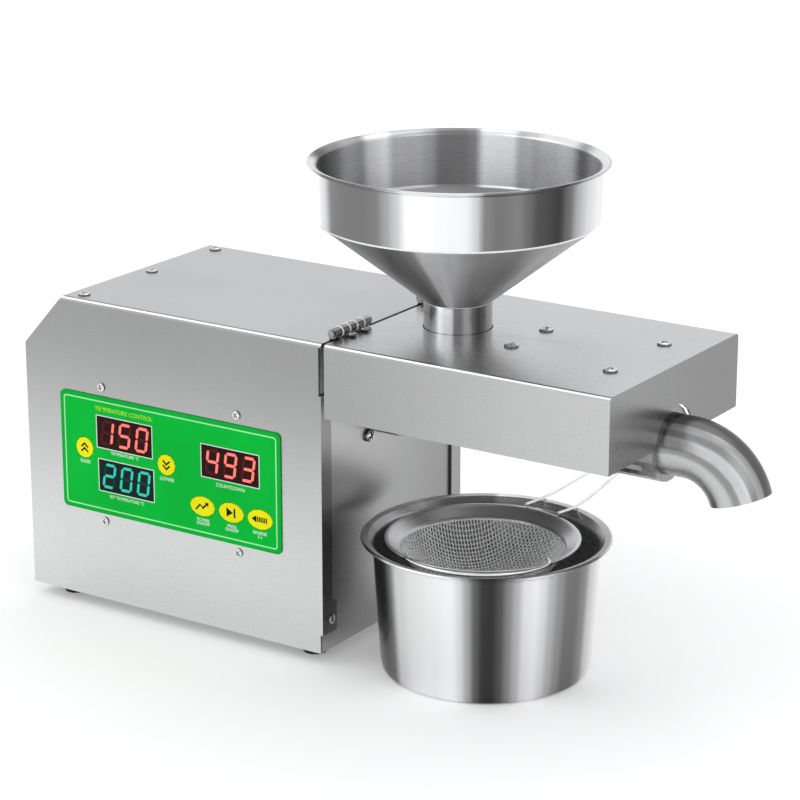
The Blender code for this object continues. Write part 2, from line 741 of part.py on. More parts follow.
def back_wall_openings():
    bm = bmesh.new()
    front, back = HALF_WIDTH - SHEET - OVERRUN, HALF_WIDTH + OVERRUN
    inlet_z = FLOOR_Z + INLET_RISE
    gap = 2 * SEAT_GAP
    add_prism(bm, "Y", rectangle((INLET_X, inlet_z), (INLET_BODY[0] + gap, INLET_BODY[1] + gap)),
              front, back)
    add_prism(bm, "Y", rectangle((SWITCH_X, inlet_z), (ROCKER_BODY[0] + gap, ROCKER_BODY[1] + gap)),
              front, back)
    for index in range(REAR_VENT_COUNT):
        x = REAR_VENT_X + index * VENT_SLOT_PITCH
        add_prism(bm, "Y", slot_outline((x, REAR_VENT_Z), REAR_VENT_LENGTH, VENT_SLOT_WIDTH, True),
                  front, back)
    return bm


def top_openings():
    bm = bmesh.new()
    for y in (-END_SCREW_SPREAD, 0, END_SCREW_SPREAD):
        add_hole(bm, "Z", (END_SCREW_X, y), TOP_SCREW[2] + SCREW_HOLE_GAP, TOP_Z - SHEET, TOP_Z)
    for y in hinge_starts():
        add_box(bm, (WALL_OUTER_X, y - SEAT_GAP, TOP_Z - SHEET - OVERRUN),
                (HOUSING_LENGTH + OVERRUN, y + HINGE_LENGTH + SEAT_GAP, TOP_Z + OVERRUN))
    for y in wrap_screw_lines():
        add_hole(bm, "X", (y, FLOOR_Z + WRAP_SCREW_RISE), SMALL_SCREW[2] + SCREW_HOLE_GAP,
                 HOUSING_LENGTH - SHEET, HOUSING_LENGTH)
    return bm


def make_end_cover(root):
    flange_z = TOP_Z - SHEET - SEAT_GAP
    slope = CORNER_CUT_LENGTH / CORNER_CUT_DROP
    knee_z = TOP_Z - CORNER_CUT_DROP
    flange_x = (flange_z - knee_z) * slope
    path = [(0, FLOOR_Z), (0, knee_z), (flange_x, flange_z),
            (CORNER_CUT_LENGTH + END_FLANGE_LENGTH, flange_z)]
    bm = bmesh.new()
    add_prism(bm, "Y", strip_outline(path, SHEET), -INNER_HALF_WIDTH, INNER_HALF_WIDTH)
    cover = new_object("end_cover", bm, "satin_steel", root)
    openings = bmesh.new()
    reach = FAN_BORE_RADIUS - VENT_SLOT_WIDTH
    for index in range(VENT_SLOT_COUNT):
        offset = (index - (VENT_SLOT_COUNT - 1) / 2) * VENT_SLOT_PITCH
        length = 2 * math.sqrt(reach ** 2 - offset ** 2)
        add_prism(openings, "X", slot_outline((0, FAN_CENTRE_Z + offset), length, VENT_SLOT_WIDTH,
                                              False), -OVERRUN, SHEET + OVERRUN)
    for y, z in fan_screw_places():
        add_hole(openings, "X", (y, z), SMALL_SCREW[2] + SCREW_HOLE_GAP, 0, SHEET)
    for y in (-END_SCREW_SPREAD, 0, END_SCREW_SPREAD):
        add_hole(openings, "Z", (END_SCREW_X, y), TOP_SCREW[2] + SCREW_HOLE_GAP, flange_z - SHEET,
                 flange_z)
    cut(cover, openings)


def fan_screw_places():
    return [(side_y * FAN_SCREW_SPREAD, FAN_CENTRE_Z + side_z * FAN_SCREW_SPREAD)
            for side_y in (-1, 1) for side_z in (-1, 1)]


def make_fan(root):
    start = SHEET + SEAT_GAP
    end = start + FAN_DEPTH
    centre = (0, FAN_CENTRE_Z)
    bm = bmesh.new()
    add_prism(bm, "X", rounded_rectangle(centre, (FAN_SIZE, FAN_SIZE), FAN_CORNER_RADIUS, 2), start,
              end)
    frame = new_object("fan_frame", bm, "black_plastic", root)
    bore = bmesh.new()
    add_hole(bore, "X", centre, FAN_BORE_RADIUS, start, end, ROUND)
    for y, z in fan_screw_places():
        add_hole(bore, "X", (y, z), SMALL_SCREW[2] + SCREW_HOLE_GAP, start, end)
    cut(frame, bore)
    struts = bmesh.new()
    half = FAN_STRUT_WIDTH / 2
    reach = FAN_SIZE / 2 - FAN_CORNER_RADIUS / 2
    back = end - FAN_STRUT_DEPTH
    cross = [(-reach, -half), (-half, -half), (-half, -reach), (half, -reach), (half, -half),
             (reach, -half), (reach, half), (half, half), (half, reach), (-half, reach),
             (-half, half), (-reach, half)]
    add_prism(struts, "X", [(y, FAN_CENTRE_Z + z) for y, z in cross], back, end)
    join(frame, struts)
    plate = bmesh.new()
    add_prism(plate, "X", circle(centre, FAN_PLATE_RADIUS, MEDIUM), back, end)
    join(frame, plate)
    pin = bmesh.new()
    pin_start = start + FAN_DEPTH / 3
    add_prism(pin, "X", circle(centre, FAN_PIN_RADIUS, SMALL), pin_start, end - FAN_STRUT_DEPTH / 2)
    join(frame, pin)
    make_fan_rotor(root, start, back)


def make_fan_rotor(root, start, back):
    centre = (0, FAN_CENTRE_Z)
    nose = start + FAN_STRUT_DEPTH
    rear = back - SEAT_GAP
    count = SCREW_COLUMNS
    bore = bore_radius(FAN_PIN_RADIUS, count)
    web = FAN_HUB_WALL
    profile = [(nose, bore), (nose, FAN_HUB_RADIUS), (rear, FAN_HUB_RADIUS),
               (rear, FAN_HUB_RADIUS - web), (nose + web, FAN_HUB_RADIUS - web),
               (nose + web, bore + web), (rear, bore + web), (rear, bore)]
    bm = bmesh.new()
    add_turned(bm, profile, count, "X", centre)
    rotor = new_object("fan_rotor", bm, "black_plastic", root, (nose, *centre))
    blades = bmesh.new()
    tip = FAN_BORE_RADIUS - FAN_TIP_GAP
    middle = (nose + rear) / 2
    half_chord = (rear - nose) / 2 / math.cos(FAN_BLADE_PITCH / 2) - FAN_BLADE_THICKNESS
    for index in range(FAN_BLADE_COUNT):
        add_blade(blades, math.tau * index / FAN_BLADE_COUNT, middle, half_chord,
                  FAN_HUB_RADIUS - web / 2, tip, centre)
    join(rotor, blades)


def add_blade(bm, turn, middle, half_chord, root_radius, tip_radius, centre):
    """A twisted blade: a thin section that leans less towards its tip."""
    rings = []
    for share in (0, 1):
        radius = root_radius + (tip_radius - root_radius) * share
        pitch = FAN_BLADE_PITCH * (1 - share / 2)
        chord = Vector((math.cos(pitch), math.sin(pitch)))
        across = Vector((-chord.y, chord.x)) * FAN_BLADE_THICKNESS / 2
        ring = []
        for along, side in ((-1, -1), (1, -1), (1, 1), (-1, 1)):
            point = chord * half_chord * along + across * side
            angle = turn + point.y / radius
            ring.append(bm.verts.new((middle + point.x,
                                      centre[0] + radius * math.cos(angle),
                                      centre[1] + radius * math.sin(angle))))
        rings.append(ring)
    bm.faces.new(rings[0])
    bm.faces.new(rings[-1])
    for first, second in zip(rings, rings[1:]):
        bridge_rings(bm, first, second)


def make_panel(root):
    bm = bmesh.new()
    back = -HALF_WIDTH - SEAT_GAP
    add_prism(bm, "Y", rounded_rectangle((PANEL_X, PANEL_Z), (PANEL_LENGTH, PANEL_HEIGHT),
                                         PANEL_CORNER), PANEL_FRONT_Y, back)
    overlay = new_object("control_overlay", bm, "green_film", root)
    cut(overlay, panel_openings(PANEL_FRONT_Y, back, with_screws=False))
    for name, (x, z) in DISPLAYS.items():
        glass = "green_display" if name == "setting_display" else "red_display"
        bm = bmesh.new()
        add_prism(bm, "Y", rectangle((PANEL_X + x, PANEL_Z + z), (DISPLAY_LENGTH, DISPLAY_HEIGHT)),
                  PANEL_FRONT_Y + DISPLAY_RECESS, BOARD_FRONT_Y - SEAT_GAP)
        new_object(name, bm, glass, root)
    for name, (x, z, radii) in KEYS.items():
        make_key(root, name, (PANEL_X + x, PANEL_Z + z), radii)


def switch_front():
    return BOARD_FRONT_Y - SWITCH_HEIGHT


def make_key(root, name, centre, radii):
    """An oval cap in the film and the wall, a rim behind the wall, and a stem to its switch."""
    front = PANEL_FRONT_Y - KEY_PROUD
    rim_front = -HALF_WIDTH + SHEET + SEAT_GAP
    rim_back = rim_front + KEY_RIM_THICKNESS
    stem_end = switch_front() - KEY_TRAVEL - SEAT_GAP / 3
    rim = (radii[0] + KEY_RIM, radii[1] + KEY_RIM)
    stem = (KEY_STEM_RADIUS, KEY_STEM_RADIUS)
    bm = bmesh.new()
    levels = [(front, radii), (rim_front, radii), (rim_front, rim), (rim_back, rim),
              (rim_back, stem), (stem_end, stem)]
    rings = [[bm.verts.new(to_axis("Y", y, *point)) for point in ellipse(centre, size, SMALL)]
             for y, size in levels]
    bm.faces.new(rings[0])
    bm.faces.new(rings[-1])
    for first, second in zip(rings, rings[1:]):
        bridge_rings(bm, first, second)
    new_object(name, bm, "yellow_film", root, (centre[0], front, centre[1]))


def make_boards(root):
    centre = (PANEL_X, PANEL_Z + PANEL_SCREW_OFFSET_Z)
    back = BOARD_FRONT_Y + BOARD_THICKNESS
    bm = bmesh.new()
    add_prism(bm, "Y", rectangle(centre, (BOARD_LENGTH, BOARD_HEIGHT)), BOARD_FRONT_Y, back)
    board = new_object("display_board", bm, "circuit_board", root)
    holes = bmesh.new()
    for x, z in panel_screw_places():
        add_hole(holes, "Y", (x, z), SMALL_SCREW[2] + SCREW_HOLE_GAP, BOARD_FRONT_Y, back)
    cut(board, holes)
    switches = bmesh.new()
    for x, z, _ in KEYS.values():
        add_prism(switches, "Y", rectangle((PANEL_X + x, PANEL_Z + z), (SWITCH_SIZE, SWITCH_SIZE)),
                  switch_front(), BOARD_FRONT_Y + SINK_DEPTH)
    join(board, switches)
    make_power_board(root)


def make_power_board(root):
    floor = FLOOR_Z + CHASSIS_SHEET + SEAT_GAP
    bottom = floor + POWER_BOARD_STANDOFF
    top = bottom + BOARD_THICKNESS
    x_low, x_high = POWER_BOARD_X
    y_low, y_high = POWER_BOARD_Y
    bm = bmesh.new()
    add_box(bm, (x_low, y_low, bottom), (x_high, y_high, top))
    board = new_object("power_board", bm, "circuit_board", root)
    extras = bmesh.new()
    leg = POWER_LEG_SIZE
    for x in (x_low + leg / 2, x_high - leg / 2 - leg):
        for y in (y_low + leg / 2, y_high - leg / 2 - leg):
            add_box(extras, (x, y, floor), (x + leg, y + leg, bottom + SINK_DEPTH))
    middle_y = (y_low + y_high) / 2
    length, width, height = TRANSFORMER_SIZE
    x = x_low + (x_high - x_low) * TRANSFORMER_X_SHARE
    add_box(extras, (x - length / 2, middle_y - width / 2, top - SINK_DEPTH),
            (x + length / 2, middle_y + width / 2, top + height))
    length, width, height = HEAT_SINK_SIZE
    x = x_low + (x_high - x_low) * HEAT_SINK_X_SHARE
    for index in range(HEAT_SINK_FINS):
        y = middle_y + (index - (HEAT_SINK_FINS - 1) / 2) * HEAT_SINK_PITCH
        add_box(extras, (x - length / 2, y - width / 2, top - SINK_DEPTH),
                (x + length / 2, y + width / 2, top + height))
    join(board, extras)


def make_inlet(root):
    z = FLOOR_Z + INLET_RISE
    centre = (INLET_X, z)
    flange_start = HALF_WIDTH + SEAT_GAP
    flange_end = flange_start + INLET_FLANGE_THICKNESS
    body_start = flange_end - INLET_DEPTH
    bm = bmesh.new()
    add_prism(bm, "Y", rectangle(centre, INLET_BODY), body_start, flange_end - SINK_DEPTH)
    inlet = new_object("power_inlet", bm, "black_plastic", root)
    flange = bmesh.new()
    add_prism(flange, "Y", rounded_rectangle(centre, INLET_FLANGE, BEND_RADIUS, 2), flange_start,
              flange_end)
    join(inlet, flange)
    socket = bmesh.new()
    add_prism(socket, "Y", rectangle(centre, INLET_SOCKET), body_start + INLET_FLOOR,
              flange_end + OVERRUN)
    cut(inlet, socket)
    pins = bmesh.new()
    for index in (-1, 0, 1):
        pin_z = z + (INLET_PIN_OFFSET if index == 0 else -INLET_PIN_OFFSET)
        pin_x = INLET_X + index * INLET_PIN_SPREAD
        add_prism(pins, "Y", rectangle((pin_x, pin_z), INLET_PIN), body_start + INLET_FLOOR / 2,
                  body_start + INLET_FLOOR + INLET_PIN_REACH)
    join(inlet, pins)


def make_switch(root):
    z = FLOOR_Z + INLET_RISE
    centre = (SWITCH_X, z)
    flange_start = HALF_WIDTH + SEAT_GAP
    flange_end = flange_start + INLET_FLANGE_THICKNESS
    body_start = flange_end - ROCKER_FRAME_DEPTH
    bm = bmesh.new()
    add_prism(bm, "Y", rectangle(centre, ROCKER_BODY), body_start, flange_end - SINK_DEPTH)
    frame = new_object("power_switch", bm, "black_plastic", root)
    flange = bmesh.new()
    add_prism(flange, "Y", rounded_rectangle(centre, ROCKER_FRAME, BEND_RADIUS / 2, 2),
              flange_start, flange_end)
    join(frame, flange)
    opening = bmesh.new()
    add_prism(opening, "Y", rectangle(centre, ROCKER_FRAME_OPENING), body_start + INLET_FLOOR,
              flange_end + OVERRUN)
    cut(frame, opening)
    pivot_y = flange_end - ROCKER_DEPTH
    half = ROCKER_HALF_HEIGHT
    side = [(half, ROCKER_DEPTH), (0, ROCKER_DEPTH - ROCKER_CREST), (-half, ROCKER_DEPTH),
            (-half, -ROCKER_DEPTH), (half, -ROCKER_DEPTH)]
    cos, sin = math.cos(ROCKER_REST_TILT), math.sin(ROCKER_REST_TILT)
    outline = [(pivot_y + y * cos - height * sin, z + y * sin + height * cos) for height, y in side]
    half_width = ROCKER_FRAME_OPENING[0] / 2 - SEAT_GAP
    bm = bmesh.new()
    add_prism(bm, "X", outline, SWITCH_X - half_width, SWITCH_X + half_width)
    new_object("switch_rocker", bm, "black_plastic", root, (SWITCH_X, pivot_y, z))


def make_motor(root):
    axis = (0, AXIS_Z)
    bore = bore_radius(MOTOR_SHAFT_RADIUS, MEDIUM)
    bell_end = MOTOR_START + MOTOR_BELL_LENGTH
    can_start = bell_end + SEAT_GAP
    inner = MOTOR_RADIUS - MOTOR_WALL
    bm = bmesh.new()
    add_turned(bm, [(can_start, inner), (can_start, MOTOR_RADIUS), (MOTOR_END, MOTOR_RADIUS),
                    (MOTOR_END, bore), (MOTOR_END - MOTOR_WALL, bore),
                    (MOTOR_END - MOTOR_WALL, inner)], MEDIUM, "X", axis)
    new_object("motor_can", bm, "plain_steel", root)
    bm = bmesh.new()
    boss_start = MOTOR_START - MOTOR_BOSS_LENGTH
    add_turned(bm, [(boss_start, bore), (boss_start, MOTOR_BOSS_RADIUS),
                    (MOTOR_START, MOTOR_BOSS_RADIUS), (MOTOR_START, MOTOR_RADIUS),
                    (bell_end, MOTOR_RADIUS), (bell_end, bore)], MEDIUM, "X", axis)
    new_object("motor_end_bell", bm, "cast_aluminium", root)
    bm = bmesh.new()
    core_start = bell_end + ROTOR_END_SPACE
    core_end = MOTOR_END - MOTOR_WALL - ROTOR_END_SPACE
    shaft_end = FIRST_STAGE_START + FIRST_STAGE_WIDTH + PINION_EXTRA
    add_turned(bm, [(boss_start, MOTOR_SHAFT_RADIUS), (core_start, MOTOR_SHAFT_RADIUS),
                    (core_start, ROTOR_RADIUS), (core_end, ROTOR_RADIUS),
                    (core_end, MOTOR_SHAFT_RADIUS), (shaft_end, MOTOR_SHAFT_RADIUS)],
               MEDIUM, "X", axis, closed=False)
    new_object("motor_rotor", bm, "gear_steel", root, (boss_start, 0, AXIS_Z))


def involute_angle(radius, base):
    """The involute's polar angle at a radius, from where it leaves its base circle."""
    if radius <= base:
        return 0.0
    roll = math.acos(base / radius)
    return math.tan(roll) - roll


def gear_outline(teeth, turn, centre):
    """Stub teeth with flanks on the involute, thinned by half of the backlash each."""
    pitch = GEAR_MODULE * teeth / 2
    base = pitch * math.cos(PRESSURE_ANGLE)
    tip = pitch + ADDENDUM_SHARE * GEAR_MODULE
    root = pitch - DEDENDUM_SHARE * GEAR_MODULE
    half_tooth = math.pi / 2 / teeth - BACKLASH / 2 / pitch
    at_base = half_tooth + involute_angle(pitch, base)
    at_tip = at_base - involute_angle(tip, base)
    at_root = at_base - involute_angle(root, base)
    points = []
    for index in range(teeth):
        middle = turn + math.tau * index / teeth
        for radius, angle in ((root, -at_root), (tip, -at_tip), (tip, at_tip), (root, at_root)):
            points.append((centre[0] + radius * math.cos(middle + angle),
                           centre[1] + radius * math.sin(middle + angle)))
    return points


def add_holed_prism(bm, axis, outline, hole, start, end):
    """Extrudes an outline with one hole; the two end faces are filled with triangles."""
    rings = []
    for along in (start, end):
        outer = [bm.verts.new(to_axis(axis, along, *point)) for point in outline]
        inner = [bm.verts.new(to_axis(axis, along, *point)) for point in hole]
        edges = []
        for ring in (outer, inner):
            for near in range(len(ring)):
                edges.append(bm.edges.new((ring[near], ring[(near + 1) % len(ring)])))
        bmesh.ops.triangle_fill(bm, edges=edges, use_beauty=True)
        rings.append((outer, inner))
    bridge_rings(bm, rings[0][0], rings[1][0])
    bridge_rings(bm, rings[0][1], rings[1][1])


def make_gear(root, name, teeth, turn, z, start, width, shaft_radius):
    bm = bmesh.new()
    centre = (0, z)
    hole = circle(centre, bore_radius(shaft_radius, SMALL), SMALL)
    add_holed_prism(bm, "X", gear_outline(teeth, turn, centre), hole, start, start + width)
    new_object(name, bm, "gear_steel", root, (start, 0, z))


def make_gears(root):
    down, up = -math.pi / 2, math.pi / 2
    half_wheel_tooth = math.pi / WHEEL_TEETH
    make_gear(root, "motor_pinion", PINION_TEETH, down, AXIS_Z,
              FIRST_STAGE_START - PINION_EXTRA / 2, FIRST_STAGE_WIDTH + PINION_EXTRA,
              MOTOR_SHAFT_RADIUS)
    make_gear(root, "layshaft_gear", WHEEL_TEETH, up + half_wheel_tooth, LAYSHAFT_Z,
              FIRST_STAGE_START, FIRST_STAGE_WIDTH, LAYSHAFT_RADIUS)
    make_gear(root, "output_gear", WHEEL_TEETH, down + half_wheel_tooth, AXIS_Z,
              SECOND_STAGE_START, SECOND_STAGE_WIDTH, OUTPUT_SHAFT_RADIUS)
    bm = bmesh.new()
    cavity_start = GEARBOX_START + GEARBOX_WALL
    low = cavity_start + SEAT_GAP
    high = GEARBOX_SPLIT - SEAT_GAP
    add_prism(bm, "X", circle((0, LAYSHAFT_Z), LAYSHAFT_RADIUS, SMALL), low, high)
    layshaft = new_object("layshaft", bm, "gear_steel", root, (low, 0, LAYSHAFT_Z))
    pinion = bmesh.new()
    start = SECOND_STAGE_START - PINION_EXTRA / 2
    add_prism(pinion, "X", gear_outline(PINION_TEETH, up, (0, LAYSHAFT_Z)), start,
              start + SECOND_STAGE_WIDTH + PINION_EXTRA)
    join(layshaft, pinion)


def hex_radius(angle, corner_radius):
    """Distance from the centre to the side of a hexagon with a corner at angle zero."""
    sector = math.pi / 3
    return corner_radius * math.cos(sector / 2) / math.cos(angle % sector - sector / 2)


def hex_ring(bm, x, corner_radius, count):
    ring = []
    for step in range(count):
        angle = math.tau * step / count
        radius = hex_radius(angle, corner_radius)
        ring.append(bm.verts.new((x, radius * math.cos(angle), AXIS_Z + radius * math.sin(angle))))
    return ring


def round_ring(bm, x, radius, count):
    return [bm.verts.new((x, *point)) for point in circle((0, AXIS_Z), radius, count)]


def make_output_shaft(root):
    bm = bmesh.new()
    count = SCREW_COLUMNS
    socket_floor = OUTPUT_SHAFT_END - HEX_SOCKET_DEPTH
    rings = [round_ring(bm, OUTPUT_SHAFT_START, OUTPUT_SHAFT_RADIUS, count),
             round_ring(bm, OUTPUT_SHAFT_END, OUTPUT_SHAFT_RADIUS, count),
             hex_ring(bm, OUTPUT_SHAFT_END, HEX_RADIUS + SEAT_GAP, count),
             hex_ring(bm, socket_floor, HEX_RADIUS + SEAT_GAP, count)]
    bm.faces.new(rings[0])
    bm.faces.new(rings[-1])
    for first, second in zip(rings, rings[1:]):
        bridge_rings(bm, first, second)
    new_object("output_shaft", bm, "gear_steel", root, (OUTPUT_SHAFT_START, 0, AXIS_Z))


def gearbox_outline(radius, steps=7):
    """Two half circles, round the press axis and round the layshaft, joined by straight sides."""
    points = []
    for centre_z, begin in ((AXIS_Z, 0), (LAYSHAFT_Z, math.pi)):
        for step in range(steps + 1):
            angle = begin + math.pi * step / steps
            points.append((radius * math.cos(angle), centre_z + radius * math.sin(angle)))
    return points


def make_gearbox(root):
    wheel_tip = GEAR_MODULE * (WHEEL_TEETH / 2 + ADDENDUM_SHARE)
    inner = wheel_tip + GEARBOX_SIDE_GAP
    outer = inner + GEARBOX_WALL
    case_end = GEARBOX_SPLIT - SEAT_GAP
    cover_end = WALL_INNER_X - SEAT_GAP
    bm = bmesh.new()
    add_prism(bm, "X", gearbox_outline(outer), GEARBOX_START, case_end)
    case = new_object("gearbox_case", bm, "cast_aluminium", root)
    cavity = bmesh.new()
    add_prism(cavity, "X", gearbox_outline(inner), GEARBOX_START + GEARBOX_WALL, case_end + OVERRUN)
    cut(case, cavity)
    shaft_hole = bmesh.new()
    add_hole(shaft_hole, "X", (0, AXIS_Z), MOTOR_SHAFT_RADIUS + SEAT_GAP, GEARBOX_START,
             GEARBOX_START + GEARBOX_WALL, SMALL)
    cut(case, shaft_hole)
    bm = bmesh.new()
    add_prism(bm, "X", gearbox_outline(outer), GEARBOX_SPLIT, cover_end)
    cover = new_object("gearbox_cover", bm, "cast_aluminium", root)
    bores = bmesh.new()
    add_hole(bores, "X", (0, AXIS_Z), BEARING_RADIUS + SEAT_GAP, GEARBOX_SPLIT, cover_end, MEDIUM)
    for y, z in wall_bolt_places():
        add_hole(bores, "X", (y, z), WALL_BOLT[2] + SCREW_HOLE_GAP, GEARBOX_SPLIT, cover_end)
    cut(cover, bores)
    bm = bmesh.new()
    inner = bore_radius(OUTPUT_SHAFT_RADIUS, MEDIUM)
    add_turned(bm, [(GEARBOX_SPLIT + SEAT_GAP, inner), (GEARBOX_SPLIT + SEAT_GAP, BEARING_RADIUS),
                    (cover_end, BEARING_RADIUS), (cover_end, inner)], MEDIUM, "X", (0, AXIS_Z))
    new_object("output_bearing", bm, "gear_steel", root)
    make_bushes(root)


def make_bushes(root):
    """Brass bushes at both ends of the layshaft and, in the barrel seat, round the output shaft."""
    lay_outer = LAYSHAFT_RADIUS + SEAT_GAP + BUSH_WALL
    seat_floor = SEAT_START + SEAT_LENGTH - SEAT_SOCKET_DEPTH
    first_start = GEARBOX_START + GEARBOX_WALL + SEAT_GAP
    last_end = GEARBOX_SPLIT - SEAT_GAP
    bushes = {
        "layshaft_bush_motor_side": (first_start, FIRST_STAGE_START - SEAT_GAP, LAYSHAFT_RADIUS,
                                     lay_outer, LAYSHAFT_Z),
        "layshaft_bush_wall_side": (last_end - BUSH_LENGTH, last_end, LAYSHAFT_RADIUS, lay_outer,
                                    LAYSHAFT_Z),
        "output_bush": (WALL_INNER_X + SEAT_GAP, seat_floor, OUTPUT_SHAFT_RADIUS,
                        SEAT_BORE_RADIUS - SEAT_GAP, AXIS_Z),
    }
    for name, (start, end, shaft, outer, z) in bushes.items():
        bm = bmesh.new()
        inner = bore_radius(shaft, SMALL)
        add_turned(bm, [(start, inner), (start, outer), (end, outer), (end, inner)], SMALL, "X",
                   (0, z))
        new_object(name, bm, "brass", root)


def make_barrel_seat(root):
    socket_floor = SEAT_START + SEAT_LENGTH - SEAT_SOCKET_DEPTH
    seat_end = SEAT_START + SEAT_LENGTH
    socket = BARREL_RADIUS + SEAT_GAP
    bm = bmesh.new()
    add_turned(bm, [(WALL_INNER_X, SEAT_BORE_RADIUS), (WALL_INNER_X, SEAT_SPIGOT_RADIUS),
                    (SEAT_START, SEAT_SPIGOT_RADIUS), (SEAT_START, SEAT_RADIUS),
                    (seat_end, SEAT_RADIUS), (seat_end, socket), (socket_floor, socket),
                    (socket_floor, SEAT_BORE_RADIUS)], ROUND, "X", (0, AXIS_Z))
    new_object("barrel_seat", bm, "plain_steel", root)


def make_barrel(root):
    bm = bmesh.new()
    add_turned(bm, [(BARREL_START, BARREL_RADIUS), (END_NUT_START - SEAT_GAP, BARREL_RADIUS),
                    (END_NUT_START - SEAT_GAP, BARREL_THREAD_RADIUS),
                    (BARREL_END, BARREL_THREAD_RADIUS)], ROUND, "X", (0, AXIS_Z), closed=False)
    barrel = new_object("press_barrel", bm, "plain_steel", root)
    collar = bmesh.new()
    add_prism(collar, "Z", circle((HOPPER_X, 0), COLLAR_RADIUS, ROUND), AXIS_Z, COLLAR_TOP_Z)
    join(barrel, collar)
    bore = bmesh.new()
    add_prism(bore, "X", circle((0, AXIS_Z), BARREL_BORE, ROUND), BARREL_START - OVERRUN,
              BARREL_END + OVERRUN)
    cut(barrel, bore)
    feed = bmesh.new()
    ledge_z = COLLAR_TOP_Z - COLLAR_DEPTH
    add_turned(feed, [(AXIS_Z, FEED_HOLE_RADIUS), (ledge_z, FEED_HOLE_RADIUS),
                      (ledge_z, COLLAR_BORE), (COLLAR_TOP_Z + OVERRUN, COLLAR_BORE)], ROUND, "Z",
               (HOPPER_X, 0), closed=False)
    cut(barrel, feed)
    slots = bmesh.new()
    for index in range(OIL_SLOT_COUNT):
        x = OIL_SLOT_START + index * OIL_SLOT_PITCH
        add_box(slots, (x, -BARREL_RADIUS - OVERRUN, AXIS_Z - BARREL_RADIUS - OVERRUN),
                (x + OIL_SLOT_WIDTH, BARREL_RADIUS + OVERRUN, AXIS_Z - OIL_SLOT_DEPTH))
    cut(barrel, slots)


def make_press_screw(root):
    """The screw as one closed surface: a tapered root, one helical flight that fades in and out,
    a hexagonal tail for the output shaft and a pointed nose."""
    count = SCREW_COLUMNS
    steps = SCREW_TURNS * count
    length = SCREW_FLIGHTS_END - SCREW_FLIGHTS_START
    flight_start = SCREW_FLIGHTS_START + SCREW_FLANK + SCREW_CREST
    pitch = (length - 2 * (SCREW_FLANK + SCREW_CREST)) / SCREW_TURNS
    bm = bmesh.new()

    def root_radius(x):
        share = (x - SCREW_FLIGHTS_START) / length
        return SCREW_ROOT_START + (SCREW_ROOT_END - SCREW_ROOT_START) * share

    def place(x, radius, step):
        angle = math.tau * (step % count) / count
        return bm.verts.new((x, radius * math.cos(angle), AXIS_Z + radius * math.sin(angle)))

    flight = []
    for step in range(steps + 1):
        x = flight_start + pitch * step / count
        fade = min(1, 2 * step / count, 2 * (steps - step) / count)
        row = []
        for offset, height in ((-SCREW_CREST / 2 - SCREW_FLANK, 0), (-SCREW_CREST / 2, fade),
                               (SCREW_CREST / 2, fade), (SCREW_CREST / 2 + SCREW_FLANK, 0)):
            low = root_radius(x + offset)
            row.append(place(x + offset, low + (SCREW_RADIUS - low) * height, step))
        flight.append(row)
    head = [place(SCREW_FLIGHTS_START, SCREW_ROOT_START, step) for step in range(count)]
    nose = [place(SCREW_FLIGHTS_END, SCREW_ROOT_END, step) for step in range(count)]
    for step in range(steps):
        here, there = flight[step], flight[step + 1]
        for column in range(3):
            bm.faces.new((here[column], here[column + 1], there[column + 1], there[column]))
        if step + count < steps:
            bm.faces.new((here[3], flight[step + count][0], flight[step + count + 1][0], there[3]))
    for step in range(count - 1):
        bm.faces.new((head[step], flight[step][0], flight[step + 1][0], head[step + 1]))
    bm.faces.new([head[-1], flight[count - 1][0], flight[count][0], *reversed(flight[0]), head[0]])
    last = steps - count
    bm.faces.new([flight[last][3], *flight[steps], nose[0], nose[1], flight[last + 1][3]])
    for step in range(1, count):
        bm.faces.new((flight[last + step][3], nose[step], nose[(step + 1) % count],
                      flight[last + step + 1][3]))
    tail_end = OUTPUT_SHAFT_END - HEX_SOCKET_DEPTH + SEAT_GAP
    shoulder = OUTPUT_SHAFT_END + SEAT_GAP
    tail = [hex_ring(bm, tail_end, HEX_RADIUS, count), hex_ring(bm, shoulder, HEX_RADIUS, count),
            round_ring(bm, shoulder, OUTPUT_SHAFT_RADIUS, count),
            round_ring(bm, SCREW_COLLAR_START + SCREW_CREST, OUTPUT_SHAFT_RADIUS, count), head]
    tip = round_ring(bm, SCREW_FLIGHTS_END + SCREW_TIP_LENGTH, SCREW_TIP_RADIUS, count)
    bm.faces.new(tail[0])
    for first, second in zip(tail, tail[1:]):
        bridge_rings(bm, first, second)
    bridge_rings(bm, nose, tip)
    bm.faces.new(tip)
    new_object("press_screw", bm, "gear_steel", root, (tail_end, 0, AXIS_Z))


